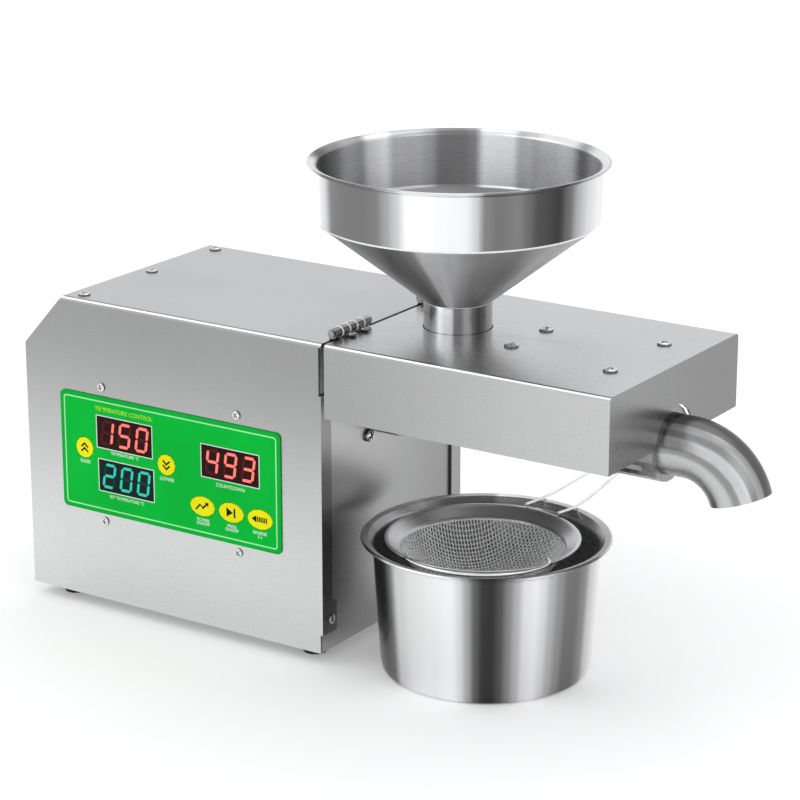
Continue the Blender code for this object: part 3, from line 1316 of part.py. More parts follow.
def make_barrel_fittings(root):
    axis = (0, AXIS_Z)
    inner = BARREL_RADIUS + SEAT_GAP
    end = HEATER_START + HEATER_LENGTH
    bm = bmesh.new()
    add_turned(bm, [(HEATER_START, inner), (HEATER_START, HEATER_RADIUS), (end, HEATER_RADIUS),
                    (end, inner)], ROUND, "X", axis)
    heater = new_object("heating_ring", bm, "mica_band", root)
    ears = bmesh.new()
    ear_length, ear_reach, ear_height = HEATER_EAR
    middle = HEATER_START + HEATER_LENGTH / 2
    add_box(ears, (middle - ear_length / 2, inner + SINK_DEPTH, AXIS_Z - ear_height / 2),
            (middle + ear_length / 2, HEATER_RADIUS + ear_reach, AXIS_Z + ear_height / 2))
    join(heater, ears)
    split = bmesh.new()
    add_box(split, (HEATER_START - OVERRUN, BARREL_RADIUS - OVERRUN, AXIS_Z - HEATER_SPLIT / 2),
            (end + OVERRUN, HEATER_RADIUS + ear_reach + OVERRUN, AXIS_Z + HEATER_SPLIT / 2))
    cut(heater, split)
    bm = bmesh.new()
    probe_end = inner + PROBE_LENGTH
    add_turned(bm, [(inner, PROBE_NUT_RADIUS), (inner + PROBE_NUT_LENGTH, PROBE_NUT_RADIUS),
                    (inner + PROBE_NUT_LENGTH, PROBE_RADIUS), (probe_end, PROBE_RADIUS)], TINY, "Y",
               (PROBE_X, AXIS_Z), closed=False)
    new_object("temperature_probe", bm, "brass", root)
    make_end_nut(root)


def make_end_nut(root):
    lip = END_NUT_END - END_NUT_LIP
    bm = bmesh.new()
    add_turned(bm, [(END_NUT_START, BARREL_THREAD_RADIUS + SEAT_GAP),
                    (END_NUT_START, END_NUT_RADIUS), (END_NUT_END, END_NUT_RADIUS),
                    (END_NUT_END, ELBOW_RADIUS + SEAT_GAP), (lip, ELBOW_RADIUS + SEAT_GAP),
                    (lip, BARREL_THREAD_RADIUS + SEAT_GAP)], ROUND, "X", (0, AXIS_Z))
    nut = new_object("end_nut", bm, "plain_steel", root)
    flutes = bmesh.new()
    for index in range(END_NUT_FLUTES):
        angle = math.tau * (index + 0.5) / END_NUT_FLUTES
        reach = END_NUT_RADIUS + END_NUT_FLUTE / 2
        centre = (reach * math.cos(angle), AXIS_Z + reach * math.sin(angle))
        add_prism(flutes, "X", circle(centre, END_NUT_FLUTE, HOLE, angle),
                  END_NUT_START - OVERRUN, lip)
    cut(nut, flutes)


def make_elbow(root):
    """A pipe along a straight and an arc, with the flange that the end nut holds."""
    bm = bmesh.new()
    start = BARREL_END + SEAT_GAP
    flange_end = start + ELBOW_FLANGE_LENGTH
    inner = ELBOW_RADIUS - ELBOW_WALL
    stations = [(start, 0, Vector((start, 0, AXIS_Z))),
                (flange_end, 0, Vector((flange_end, 0, AXIS_Z)))]
    for step in range(ELBOW_STEPS + 1):
        angle = ELBOW_SWEEP * step / ELBOW_STEPS
        centre = Vector((ELBOW_BEND_START + ELBOW_BEND_RADIUS * math.sin(angle), 0,
                         AXIS_Z - ELBOW_BEND_RADIUS * (1 - math.cos(angle))))
        stations.append((None, angle, centre))

    def ring(centre, angle, radius):
        across = Vector((math.sin(angle), 0, math.cos(angle)))
        verts = []
        for step in range(PIPE):
            turn = math.tau * step / PIPE
            offset = Vector((0, math.cos(turn), 0)) + across * math.sin(turn)
            verts.append(bm.verts.new(centre + offset * radius))
        return verts

    rings = [ring(stations[0][2], 0, ELBOW_FLANGE_RADIUS), ring(stations[1][2], 0, ELBOW_FLANGE_RADIUS)]
    for _, angle, centre in stations[1:]:
        rings.append(ring(centre, angle, ELBOW_RADIUS))
    for _, angle, centre in reversed(stations[2:]):
        rings.append(ring(centre, angle, inner))
    rings.append(ring(stations[0][2], 0, inner))
    for first, second in zip(rings, rings[1:]):
        bridge_rings(bm, first, second)
    bridge_rings(bm, rings[-1], rings[0])
    new_object("cake_elbow", bm, "satin_steel", root)


def make_cover(root):
    pivot = (HINGE_AXIS_X, 0, HINGE_AXIS_Z)
    bm = bmesh.new()
    add_prism(bm, "X", arch_outline(HALF_WIDTH, COVER_BOTTOM_Z, TOP_Z, BEND_RADIUS), COVER_START,
              COVER_END)
    cover = new_object("press_cover", bm, "satin_steel", root, pivot)
    cavity = bmesh.new()
    add_prism(cavity, "X", arch_outline(HALF_WIDTH - SHEET, COVER_BOTTOM_Z - OVERRUN, TOP_Z - SHEET,
                                        INNER_BEND_RADIUS), COVER_START - OVERRUN, COVER_END - SHEET)
    cut(cover, cavity)
    notch = bmesh.new()
    steps = SMALL
    arch = [(COVER_NOTCH_RADIUS * math.cos(math.pi * step / steps),
             AXIS_Z + COVER_NOTCH_RADIUS * math.sin(math.pi * step / steps))
            for step in range(steps + 1)]
    sill = AXIS_Z - OVERRUN
    arch += [(-COVER_NOTCH_RADIUS, sill), (COVER_NOTCH_RADIUS, sill)]
    add_prism(notch, "X", arch, COVER_END - SHEET - OVERRUN, COVER_END + OVERRUN)
    cut(cover, notch)
    holes = bmesh.new()
    low = TOP_Z - SHEET
    add_hole(holes, "Z", (HOPPER_X, 0), NECK_RADIUS + NECK_HOLE_GAP, low, TOP_Z, ROUND)
    for x, y in cover_screw_places():
        add_hole(holes, "Z", (x, y), COVER_SCREW[2] + SCREW_HOLE_GAP, low, TOP_Z)
    for x, y in hinge_screw_places():
        add_hole(holes, "Z", (x, y), SMALL_SCREW[2] + SCREW_HOLE_GAP, low, TOP_Z)
    cut(cover, holes)
    shield_top = low - SEAT_GAP
    shield_bottom = shield_top - SHIELD_LIP
    path = [(SHIELD_HALF_WIDTH, shield_bottom), (SHIELD_HALF_WIDTH, shield_top),
            (-SHIELD_HALF_WIDTH, shield_top), (-SHIELD_HALF_WIDTH, shield_bottom)]
    outline = [(-y, z) for y, z in strip_outline([(-y, z) for y, z in path], SHIELD_SHEET)]
    bm = bmesh.new()
    add_prism(bm, "X", outline, SHIELD_START, SHIELD_START + SHIELD_LENGTH)
    shield = new_object("heat_shield", bm, "plain_steel", root, pivot)
    holes = bmesh.new()
    for x, y in cover_screw_places():
        add_hole(holes, "Z", (x, y), COVER_SCREW[2] + SCREW_HOLE_GAP, shield_top - SHIELD_SHEET,
                 shield_top)
    cut(shield, holes)


def cover_screw_places():
    return [(x, side * y) for x, y in COVER_SCREWS for side in (-1, 1)]


def hinge_screw_places():
    return [(HINGE_SCREW_X, start + HINGE_LENGTH * share)
            for start in hinge_starts() for share in HINGE_SCREW_SHARES]


def make_hinges(root):
    pivot = (HINGE_AXIS_X, 0, HINGE_AXIS_Z)
    for side, start in zip(("front", "back"), hinge_starts()):
        make_leaf(root, f"hinge_box_leaf_{side}", start, box_leaf_outline(), 0, (0, 0, 0))
        make_leaf(root, f"hinge_cover_leaf_{side}", start, cover_leaf_outline(), 1, pivot)


def hinge_pin(start, end):
    """The pin is riveted into the leaf on the box side and turns in the other leaf's knuckles."""
    head = SEAT_GAP + HINGE_PIN_HEAD_LENGTH
    bm = bmesh.new()
    add_turned(bm, [(start - head, HINGE_PIN_HEAD), (start - SEAT_GAP, HINGE_PIN_HEAD),
                    (start - SEAT_GAP, HINGE_PIN_RADIUS), (end + SEAT_GAP, HINGE_PIN_RADIUS),
                    (end + SEAT_GAP, HINGE_PIN_HEAD), (end + head, HINGE_PIN_HEAD)], TINY, "Y",
               (HINGE_AXIS_X, HINGE_AXIS_Z), closed=False)
    return bm


def leaf_top():
    """The height at which a leaf runs into its knuckles."""
    return HINGE_AXIS_Z - KNUCKLE_RADIUS / 2


def box_leaf_outline():
    left = WALL_OUTER_X + SEAT_GAP
    bottom = TOP_Z - BOX_LEAF_DROP
    return [(left, bottom), (left + LEAF_SHEET, bottom), (left + LEAF_SHEET, leaf_top()),
            (left, leaf_top())]


def cover_leaf_outline():
    right = COVER_START - SEAT_GAP
    under = TOP_Z - SHEET - SEAT_GAP
    path = [(right, leaf_top()), (right, under), (right + COVER_LEAF_LENGTH, under)]
    return strip_outline(path[::-1], -LEAF_SHEET)


def make_leaf(root, name, start, outline, first_knuckle, pivot):
    """A leaf whose web is cleared between its own knuckles, then the knuckles with their bore."""
    end = start + HINGE_LENGTH
    bm = bmesh.new()
    add_prism(bm, "Y", outline, start, end)
    leaf = new_object(name, bm, "plain_steel", root, pivot)
    knuckle = HINGE_LENGTH / KNUCKLE_COUNT
    centre = (HINGE_AXIS_X, HINGE_AXIS_Z)
    clear = KNUCKLE_RADIUS + SEAT_GAP
    gaps = bmesh.new()
    knuckles = bmesh.new()
    for index in range(KNUCKLE_COUNT):
        low, high = start + index * knuckle, start + (index + 1) * knuckle
        if index % 2 == first_knuckle:
            add_prism(knuckles, "Y", circle(centre, KNUCKLE_RADIUS, TINY), low + SEAT_GAP / 2,
                      high - SEAT_GAP / 2)
        else:
            add_box(gaps, (centre[0] - clear, low - SEAT_GAP / 2, centre[1] - clear),
                    (centre[0] + clear, high + SEAT_GAP / 2, centre[1] + clear))
    cut(leaf, gaps)
    join(leaf, knuckles)
    if first_knuckle:
        bore = bmesh.new()
        add_prism(bore, "Y", circle(centre, bore_radius(HINGE_PIN_RADIUS, TINY), TINY), start - OVERRUN, end + OVERRUN)
        cut(leaf, bore)
        holes = bmesh.new()
        under = TOP_Z - SHEET - SEAT_GAP
        for x, y in hinge_screw_places():
            if start < y < end:
                add_hole(holes, "Z", (x, y), SMALL_SCREW[2] + SCREW_HOLE_GAP, under - LEAF_SHEET,
                         under)
        cut(leaf, holes)
    else:
        join(leaf, hinge_pin(start, end))


def make_hopper(root):
    wall = HOPPER_WALL
    centre = (HOPPER_X, 0)
    slope = math.atan2(CONE_TOP_RADIUS - NECK_RADIUS, CONE_HEIGHT)
    lift = wall * math.tan((math.pi / 2 - slope) / 2)
    lip = RIM_RADIUS - RIM_LIP
    profile = [(NECK_BOTTOM_Z, NECK_RADIUS), (CONE_BOTTOM_Z, NECK_RADIUS),
               (CONE_TOP_Z - HOPPER_BEND, CONE_TOP_RADIUS - HOPPER_BEND * math.tan(slope)),
               (CONE_TOP_Z + HOPPER_BEND, CONE_TOP_RADIUS),
               (RIM_Z - RIM_LIP - RIM_RISE, DRUM_TOP_RADIUS),
               (RIM_Z - RIM_LIP, RIM_RADIUS), (RIM_Z, lip),
               (RIM_Z - wall / 2, DRUM_TOP_RADIUS),
               (RIM_Z - RIM_LIP - RIM_RISE, DRUM_TOP_RADIUS - wall),
               (CONE_TOP_Z + HOPPER_BEND, CONE_TOP_RADIUS - wall),
               (CONE_TOP_Z - HOPPER_BEND + lift, CONE_TOP_RADIUS - wall - HOPPER_BEND * math.tan(slope)),
               (CONE_BOTTOM_Z + lift, NECK_RADIUS - wall), (NECK_BOTTOM_Z, NECK_RADIUS - wall)]
    bm = bmesh.new()
    add_turned(bm, profile, FINE, "Z", centre)
    new_object("hopper", bm, "polished_steel", root, (HOPPER_X, 0, NECK_BOTTOM_Z))


def make_cup(root):
    centre = (CUP_X, CUP_Y)
    wall = CUP_WALL
    foot = CUP_FOOT_RADIUS
    half = foot * (1 - math.cos(math.pi / 4))
    neck_z = CUP_HEIGHT - 2 * CUP_RIM_LIP
    lip = CUP_RIM_RADIUS - CUP_RIM_LIP
    profile = [(0, CUP_BASE_RADIUS - foot), (half, CUP_BASE_RADIUS - half), (foot, CUP_BASE_RADIUS),
               (neck_z, CUP_TOP_RADIUS), (CUP_HEIGHT - 2 * CUP_RIM_LIP, lip),
               (CUP_HEIGHT - CUP_RIM_LIP, CUP_RIM_RADIUS), (CUP_HEIGHT, lip),
               (CUP_HEIGHT, CUP_TOP_RADIUS + wall), (neck_z, CUP_TOP_RADIUS - wall),
               (foot, CUP_BASE_RADIUS - wall), (half + wall, CUP_BASE_RADIUS - half - wall / 2),
               (wall, CUP_BASE_RADIUS - foot)]
    bm = bmesh.new()
    add_turned(bm, profile, FINE, "Z", centre, closed=False)
    new_object("oil_cup", bm, "polished_steel", root, (CUP_X, CUP_Y, 0))


def strainer_profile():
    """The bowl of the strainer as (height, radius) points down from its rim."""
    top = STRAINER_TOP_Z - STRAINER_RIM_DROP - STRAINER_SHEET - SEAT_GAP
    steps = 5
    profile = []
    for step in range(steps):
        angle = math.pi / 2 * step / steps
        profile.append((top - STRAINER_DEPTH * math.sin(angle),
                        STRAINER_OPENING * math.cos(angle) + STRAINER_SHEET))
    return profile


def make_strainer(root):
    centre = (STRAINER_X, STRAINER_Y)
    pivot = (STRAINER_X, STRAINER_Y, STRAINER_TOP_Z)
    sheet = STRAINER_SHEET
    low = STRAINER_TOP_Z - STRAINER_RIM_DROP
    bm = bmesh.new()
    add_turned(bm, [(STRAINER_TOP_Z - sheet, STRAINER_RADIUS), (STRAINER_TOP_Z, STRAINER_RADIUS - sheet),
                    (low, STRAINER_OPENING), (low - sheet, STRAINER_OPENING),
                    (low - sheet, STRAINER_OPENING + 2 * sheet)], FINE, "Z", centre)
    new_object("strainer_rim", bm, "polished_steel", root, pivot)
    outer = strainer_profile()
    thin = STRAINER_MESH_SHEET
    bottom = outer[0][0] - STRAINER_DEPTH
    inner = [(z + (thin if index else 0), radius - thin) for index, (z, radius) in enumerate(outer)]
    bm = bmesh.new()
    tip_radius = outer[-1][1] / 3
    add_turned(bm, [(bottom + thin, tip_radius)] + inner[::-1] + outer + [(bottom, tip_radius)],
               MEDIUM, "Z", centre, closed=False)
    new_object("strainer_mesh", bm, "plain_steel", root, pivot)
    make_strainer_wires(root, pivot)


def add_wire(bm, path, radius=WIRE_RADIUS, count=6):
    """A round wire along a path of points, closed with flat ends."""
    rings = []
    for index, point in enumerate(path):
        before = path[max(index - 1, 0)]
        after = path[min(index + 1, len(path) - 1)]
        heading = (after - before).normalized()
        side = heading.cross(Vector((0, 0, 1))).normalized()
        up = side.cross(heading)
        rings.append([bm.verts.new(point + (side * math.cos(math.tau * step / count)
                                            + up * math.sin(math.tau * step / count)) * radius)
                      for step in range(count)])
    bm.faces.new(rings[0])
    bm.faces.new(rings[-1])
    for first, second in zip(rings, rings[1:]):
        bridge_rings(bm, first, second)


def make_strainer_wires(root, pivot):
    """The front ear and the handle lie on the cup's rim and carry the strainer."""
    centre = Vector((STRAINER_X, STRAINER_Y, WIRE_Z))
    cup = Vector((CUP_X, CUP_Y, WIRE_Z))
    on_rim = STRAINER_RADIUS - WIRE_RADIUS - STRAINER_SHEET
    rest_radius = (CUP_TOP_RADIUS + CUP_RIM_RADIUS) / 2
    steps = 10
    path = []
    for step in range(steps + 1):
        angle = EAR_START + (EAR_END - EAR_START) * step / steps
        heading = Vector((math.cos(angle), math.sin(angle), 0))
        near, far = centre + heading * on_rim, cup + heading * rest_radius
        share = math.sqrt(math.sin(math.pi * step / steps))
        path.append(near.lerp(far, share))
    bm = bmesh.new()
    add_wire(bm, path)
    new_object("strainer_ear", bm, "plain_steel", root, pivot)
    heading = Vector((math.cos(HANDLE_HEADING), math.sin(HANDLE_HEADING), 0))
    side = Vector((heading.y, -heading.x, 0))
    level = CUP_RIM_RADIUS + CUP_Y - STRAINER_Y
    reach = STRAINER_RADIUS + HANDLE_REACH
    tip = HANDLE_TIP_SPREAD / 2
    half = HANDLE_SPREAD / 2

    def handle_point(along, across):
        rise = max(0, along - level) * math.tan(HANDLE_RISE)
        return centre + heading * along + side * across + Vector((0, 0, rise))

    bend = reach - tip
    right = [handle_point(along, half + (tip - half) * share)
             for along, share in ((on_rim, 0), (level, 0.0), ((level + bend) / 2, 0.5), (bend, 1))]
    left = [handle_point(along, -half - (tip - half) * share)
            for along, share in ((bend, 1), ((level + bend) / 2, 0.5), (level, 0.0), (on_rim, 0))]
    turn = [handle_point(bend + (tip - WIRE_RADIUS) * math.sin(math.pi * step / 6),
                         tip * math.cos(math.pi * step / 6)) for step in range(1, 6)]
    bm = bmesh.new()
    add_wire(bm, right + turn + left)
    new_object("strainer_handle", bm, "plain_steel", root, pivot)


def make_wall_bolts(root):
    """The four bolts that clamp the gearbox to the chassis wall, each its own piece."""
    for y, z in wall_bolt_places():
        side = "front" if y < 0 else "back"
        level = "low" if z < AXIS_Z else "high"
        bm = bmesh.new()
        add_screw(bm, "X", WALL_OUTER_X, (y, z), 1, WALL_BOLT, WALL_BOLT_LENGTH)
        new_object(f"wall_bolt_{side}_{level}", bm, "plain_steel", root)


def main():
    clear_scene()
    root = bpy.data.objects.new("machine_origin", None)
    bpy.context.scene.collection.objects.link(root)
    root.location = (-ORIGIN_X, -ORIGIN_Y, 0)
    make_chassis(root)
    make_feet(root)
    make_housing(root)
    make_end_cover(root)
    make_fan(root)
    make_panel(root)
    make_boards(root)
    make_inlet(root)
    make_switch(root)
    make_motor(root)
    make_gears(root)
    make_output_shaft(root)
    make_gearbox(root)
    make_barrel_seat(root)
    make_barrel(root)
    make_press_screw(root)
    make_barrel_fittings(root)
    make_elbow(root)
    make_cover(root)
    make_hinges(root)
    make_hopper(root)
    make_cup(root)
    make_strainer(root)
    make_wall_bolts(root)


main()
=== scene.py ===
import math

import bmesh
import bpy
from mathutils import Matrix, Vector


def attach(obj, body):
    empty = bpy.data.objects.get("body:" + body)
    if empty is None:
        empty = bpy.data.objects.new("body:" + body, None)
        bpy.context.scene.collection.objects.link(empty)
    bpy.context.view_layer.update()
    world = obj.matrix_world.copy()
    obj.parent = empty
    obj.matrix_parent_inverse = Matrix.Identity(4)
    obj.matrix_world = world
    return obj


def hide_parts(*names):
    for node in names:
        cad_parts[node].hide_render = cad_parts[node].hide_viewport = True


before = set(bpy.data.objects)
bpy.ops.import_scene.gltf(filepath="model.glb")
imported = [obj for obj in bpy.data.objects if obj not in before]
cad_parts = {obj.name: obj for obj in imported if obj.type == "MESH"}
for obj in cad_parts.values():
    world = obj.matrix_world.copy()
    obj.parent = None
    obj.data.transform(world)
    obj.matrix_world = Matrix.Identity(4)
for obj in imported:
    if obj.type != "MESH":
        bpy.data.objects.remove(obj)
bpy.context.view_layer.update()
scene = bpy.context.scene

# Lengths below are millimetres from the left end, the mid-plane and the table.
millimetre = 0.001
elbow = {"radius": 16.3, "wall": 1.5, "start": 366.3, "bendStart": 387, "bend": 32,
         "sweep": math.radians(73), "flange": 16.9, "flangeLength": 2.2, "axis": 140}
cup = {"x": 276.3, "y": -18.7, "base": 57.3, "top": 61.6, "rim": 68.2, "lip": 1.6, "height": 75.6,
       "wall": 1.0, "foot": 4.0}
strainer = {"x": 276.0, "y": -22.0, "radius": 53.0, "opening": 44.0, "drop": 5.2, "sheet": 0.8,
            "depth": 29.0, "wire": 1.0, "pitch": 1.75, "meshWire": 0.38}
handle = {"heading": math.radians(82.5), "spread": 22.5, "tip": 13.0, "reach": 76.0,
          "rise": math.radians(10)}
hopperAxis = (245.5, 0)
originX = (elbow["bendStart"] + (elbow["bend"] + elbow["radius"]) * math.sin(elbow["sweep"])) / 2
handleEnd = strainer["y"] + (strainer["radius"] + handle["reach"]) * math.sin(handle["heading"])
originY = (handleEnd + cup["y"] - cup["rim"]) / 2


def at(x, y, z):
    return Vector((x - originX, y - originY, z)) * millimetre


print("stage: frame loaded")


def addNode(tree, kind, settings=(), inputs=()):
    made = tree.nodes.new(kind)
    for name, value in dict(settings).items():
        setattr(made, name, value)
    for name, value in dict(inputs).items():
        if isinstance(value, bpy.types.NodeSocket):
            tree.links.new(value, made.inputs[name])
        else:
            made.inputs[name].default_value = value
    return made


def maths(tree, operation, first, second=0.0, clamp=False):
    made = addNode(tree, "ShaderNodeMath", {"operation": operation, "use_clamp": clamp},
                   {0: first, 1: second})
    return made.outputs[0]


def mapRange(tree, value, low, high, toLow=0.0, toHigh=1.0):
    made = addNode(tree, "ShaderNodeMapRange", {"interpolation_type": "SMOOTHSTEP"},
                   {"Value": value, "From Min": low, "From Max": high, "To Min": toLow,
                    "To Max": toHigh})
    return made.outputs["Result"]


def noise(tree, vector, scale, detail=2.0, roughness=0.5):
    made = addNode(tree, "ShaderNodeTexNoise", {},
                   {"Vector": vector, "Scale": scale, "Detail": detail, "Roughness": roughness})
    return made.outputs["Fac"]


def stretched(tree, vector, scale):
    made = addNode(tree, "ShaderNodeVectorMath", {"operation": "MULTIPLY"}, {0: vector, 1: scale})
    return made.outputs["Vector"]


def ramp(tree, value, stops):
    made = addNode(tree, "ShaderNodeValToRGB", {}, {"Fac": value})
    made.color_ramp.interpolation = "EASE"
    elements = made.color_ramp.elements
    elements[0].position, elements[0].color = stops[0][0], (stops[0][1],) * 3 + (1,)
    elements[1].position, elements[1].color = stops[-1][0], (stops[-1][1],) * 3 + (1,)
    for position, tone in stops[1:-1]:
        elements.new(position).color = (tone, tone, tone, 1)
    return made.outputs["Color"]


def tinted(tree, colour, tone):
    made = addNode(tree, "ShaderNodeVectorMath", {"operation": "MULTIPLY"}, {0: colour, 1: tone})
    return made.outputs["Vector"]


def newMaterial(name, **sockets):
    material = bpy.data.materials.new(name)
    material.use_nodes = True
    shader = material.node_tree.nodes["Principled BSDF"]
    for socket, value in sockets.items():
        shader.inputs[socket.replace("_", " ")].default_value = value
    return material, material.node_tree, shader


def place(tree):
    return addNode(tree, "ShaderNodeTexCoord").outputs["Object"]


def addBump(tree, shader, height, strength, distance=0.0002):
    made = addNode(tree, "ShaderNodeBump", {}, {"Height": height, "Strength": strength,
                                                "Distance": distance})
    tree.links.new(made.outputs["Normal"], shader.inputs["Normal"])


def grainedRoughness(tree, shader, grain, low, high):
    tree.links.new(mapRange(tree, grain, 0.3, 0.7, low, high), shader.inputs["Roughness"])


def sheetSteel(name, tone, frontPaintedTones, endPaintedTones, run=("Z", 0.03, 0.18), roughness=0.30):
    # Satin sheet: the grain runs along X. Each face direction gets its own tone as painted light and shade:
    # painted shade gradients across the front and end faces, a painted highlight along the bends and a painted
    # shade line beside them.
    material, tree, shader = newMaterial(name, Metallic=1.0, Anisotropic=0.35)
    where = place(tree)
    normal = addNode(tree, "ShaderNodeSeparateXYZ", {},
                     {0: addNode(tree, "ShaderNodeNewGeometry").outputs["Normal"]})
    point = addNode(tree, "ShaderNodeSeparateXYZ", {}, {0: where})
    grain = noise(tree, stretched(tree, where, (60, 2400, 2400)), 1.0, 3.0)
    cloud = noise(tree, where, 9.0, 2.0)
    # Painted shade: the front faces' tone runs between two values along run, and the end faces' tone along Y.
    rise = mapRange(tree, point.outputs[run[0]], run[1], run[2])
    front = mapRange(tree, maths(tree, "ABSOLUTE", normal.outputs["Y"]), 0.3, 0.9)
    end = mapRange(tree, normal.outputs["X"], 0.3, 0.9)
    frontPaintedTone = maths(tree, "MULTIPLY_ADD", rise, frontPaintedTones[1] - frontPaintedTones[0])
    frontPaintedTone.node.inputs[2].default_value = frontPaintedTones[0]
    mixed = addNode(tree, "ShaderNodeMix", {}, {0: front, 2: tone, 3: frontPaintedTone}).outputs[0]
    endPaintedTone = maths(tree, "MULTIPLY_ADD", mapRange(tree, point.outputs["Y"], -0.08, 0.06),
                    endPaintedTones[1] - endPaintedTones[0])
    endPaintedTone.node.inputs[2].default_value = endPaintedTones[0]
    mixed = addNode(tree, "ShaderNodeMix", {}, {0: end, 2: mixed, 3: endPaintedTone}).outputs[0]
    # Painted highlight on the bends, where the normal lies between up and front.
    bend = maths(tree, "MULTIPLY", normal.outputs["Z"], maths(tree, "ABSOLUTE", normal.outputs["Y"]))
    mixed = addNode(tree, "ShaderNodeMix", {},
                    {0: mapRange(tree, bend, 0.18, 0.38), 2: mixed, 3: 1.0}).outputs[0]
    # Painted shade line where a bend leaves the top face.
    paintedBendShadeLine = maths(tree, "MULTIPLY", mapRange(tree, bend, 0.03, 0.12),
                    mapRange(tree, normal.outputs["Z"], 0.93, 0.97))
    mixed = maths(tree, "MULTIPLY", mixed, mapRange(tree, paintedBendShadeLine, 0.0, 1.0, 1.0, 0.45))
    varied = maths(tree, "MULTIPLY", mixed, mapRange(tree, cloud, 0.2, 0.8, 0.97, 1.03))
    varied = maths(tree, "MULTIPLY", varied, mapRange(tree, grain, 0.2, 0.8, 0.97, 1.03))
    colour = addNode(tree, "ShaderNodeCombineXYZ", {}, {0: varied, 1: varied, 2: varied})
    tree.links.new(colour.outputs[0], shader.inputs["Base Color"])
    grainedRoughness(tree, shader, grain, roughness - 0.04, roughness + 0.05)
    addBump(tree, shader, grain, 0.03)
    return material


def spunSteel(name, centre, stops, roughness, metallic=1.0, grainScale=(30, 30, 3000)):
    # Spun or polished steel with painted reflection bands round its axis and fine turning lines.
    material, tree, shader = newMaterial(name, Metallic=metallic)
    where = place(tree)
    offset = addNode(tree, "ShaderNodeVectorMath", {"operation": "SUBTRACT"},
                     {0: where, 1: tuple(at(centre[0], centre[1], 0))}).outputs["Vector"]
    parts = addNode(tree, "ShaderNodeSeparateXYZ", {}, {0: offset})
    turn = maths(tree, "ARCTAN2", parts.outputs["Y"], parts.outputs["X"])
    share = maths(tree, "FRACT", maths(tree, "ADD", maths(tree, "DIVIDE", turn, math.tau), 1.0))
    grain = noise(tree, stretched(tree, where, grainScale), 1.0, 3.0)
    streak = noise(tree, stretched(tree, where, (60, 60, 1)), 1.0, 2.0)
    # Painted reflection: the tone bands come from the stops by the turn round the axis.
    tone = ramp(tree, share, stops)
    tone = tinted(tree, tone, (1, 1, 1.005))
    shade = mapRange(tree, streak, 0.25, 0.75, 0.95, 1.05)
    varied = addNode(tree, "ShaderNodeVectorMath", {"operation": "SCALE"}, {0: tone, "Scale": shade})
    tree.links.new(varied.outputs[0], shader.inputs["Base Color"])
    grainedRoughness(tree, shader, grain, roughness - 0.03, roughness + 0.05)
    addBump(tree, shader, grain, 0.03)
    return material


def bentSteel(name, stops, roughness):
    # Drawn pipe with painted reflection streaks along the bend, placed by the turn round the pipe's middle
    # line.
    material, tree, shader = newMaterial(name, Metallic=1.0)
    where = place(tree)
    offset = addNode(tree, "ShaderNodeVectorMath", {"operation": "SUBTRACT"},
                     {0: where, 1: tuple(at(elbow["bendStart"], 0, elbow["axis"] - elbow["bend"]))})
    parts = addNode(tree, "ShaderNodeSeparateXYZ", {}, {0: offset.outputs["Vector"]})
    along = maths(tree, "MAXIMUM", parts.outputs["X"], 0.0)
    reach = maths(tree, "SQRT", maths(tree, "ADD", maths(tree, "MULTIPLY", along, along),
                                      maths(tree, "MULTIPLY", parts.outputs["Z"], parts.outputs["Z"])))
    outer = maths(tree, "SUBTRACT", reach, elbow["bend"] * millimetre)
    front = maths(tree, "MULTIPLY", parts.outputs["Y"], -1.0)
    turn = maths(tree, "ARCTAN2", outer, front)
    share = maths(tree, "FRACT", maths(tree, "ADD", maths(tree, "DIVIDE", turn, math.tau), 1.0))
    grain = noise(tree, where, 260.0, 3.0)
    cloud = noise(tree, where, 30.0, 2.0)
    drift = mapRange(tree, parts.outputs["X"], 0.0, 0.045, 0.045, 0.0)
    streak = maths(tree, "ADD", share, mapRange(tree, cloud, 0.3, 0.7, -0.004, 0.004))
    streak = maths(tree, "FRACT", maths(tree, "ADD", streak, drift))
    shade = mapRange(tree, grain, 0.25, 0.75, 0.97, 1.03)
    varied = addNode(tree, "ShaderNodeVectorMath", {"operation": "SCALE"},
                     {0: ramp(tree, streak, stops), "Scale": shade})
    tree.links.new(varied.outputs[0], shader.inputs["Base Color"])
    grainedRoughness(tree, shader, grain, roughness - 0.03, roughness + 0.04)
    addBump(tree, shader, grain, 0.004)
    return material


def plainSteel(name, tone, roughness=0.3, tint=(1, 1, 1), metallic=1.0, bump=0.015):
    material, tree, shader = newMaterial(name, Metallic=metallic)
    where = place(tree)
    grain = noise(tree, where, 400.0, 3.0)
    cloud = noise(tree, where, 60.0, 2.0)
    shade = mapRange(tree, cloud, 0.25, 0.75, 0.9 * tone, 1.08 * tone)
    colour = addNode(tree, "ShaderNodeVectorMath", {"operation": "SCALE"}, {0: tint, "Scale": shade})
    tree.links.new(colour.outputs[0], shader.inputs["Base Color"])
    grainedRoughness(tree, shader, grain, roughness - 0.05, roughness + 0.08)
    addBump(tree, shader, grain, bump)
    return material


def turnedSteel(name, low, high, roughness):
    # Bright small parts with painted light: a painted highlight where they look up, painted shade down their
    # sides.
    material, tree, shader = newMaterial(name, Metallic=1.0)
    where = place(tree)
    normal = addNode(tree, "ShaderNodeSeparateXYZ", {},
                     {0: addNode(tree, "ShaderNodeTexCoord").outputs["Normal"]})
    grain = noise(tree, where, 900.0, 3.0)
    # Painted light: the tone rises from low on the sides to high on top.
    tone = mapRange(tree, normal.outputs["Z"], 0.35, 0.9, low, high)
    tone = maths(tree, "MULTIPLY", tone, mapRange(tree, grain, 0.2, 0.8, 0.94, 1.06))
    colour = addNode(tree, "ShaderNodeCombineXYZ", {}, {0: tone, 1: tone, 2: tone})
    tree.links.new(colour.outputs[0], shader.inputs["Base Color"])
    grainedRoughness(tree, shader, grain, roughness - 0.04, roughness + 0.05)
    return material


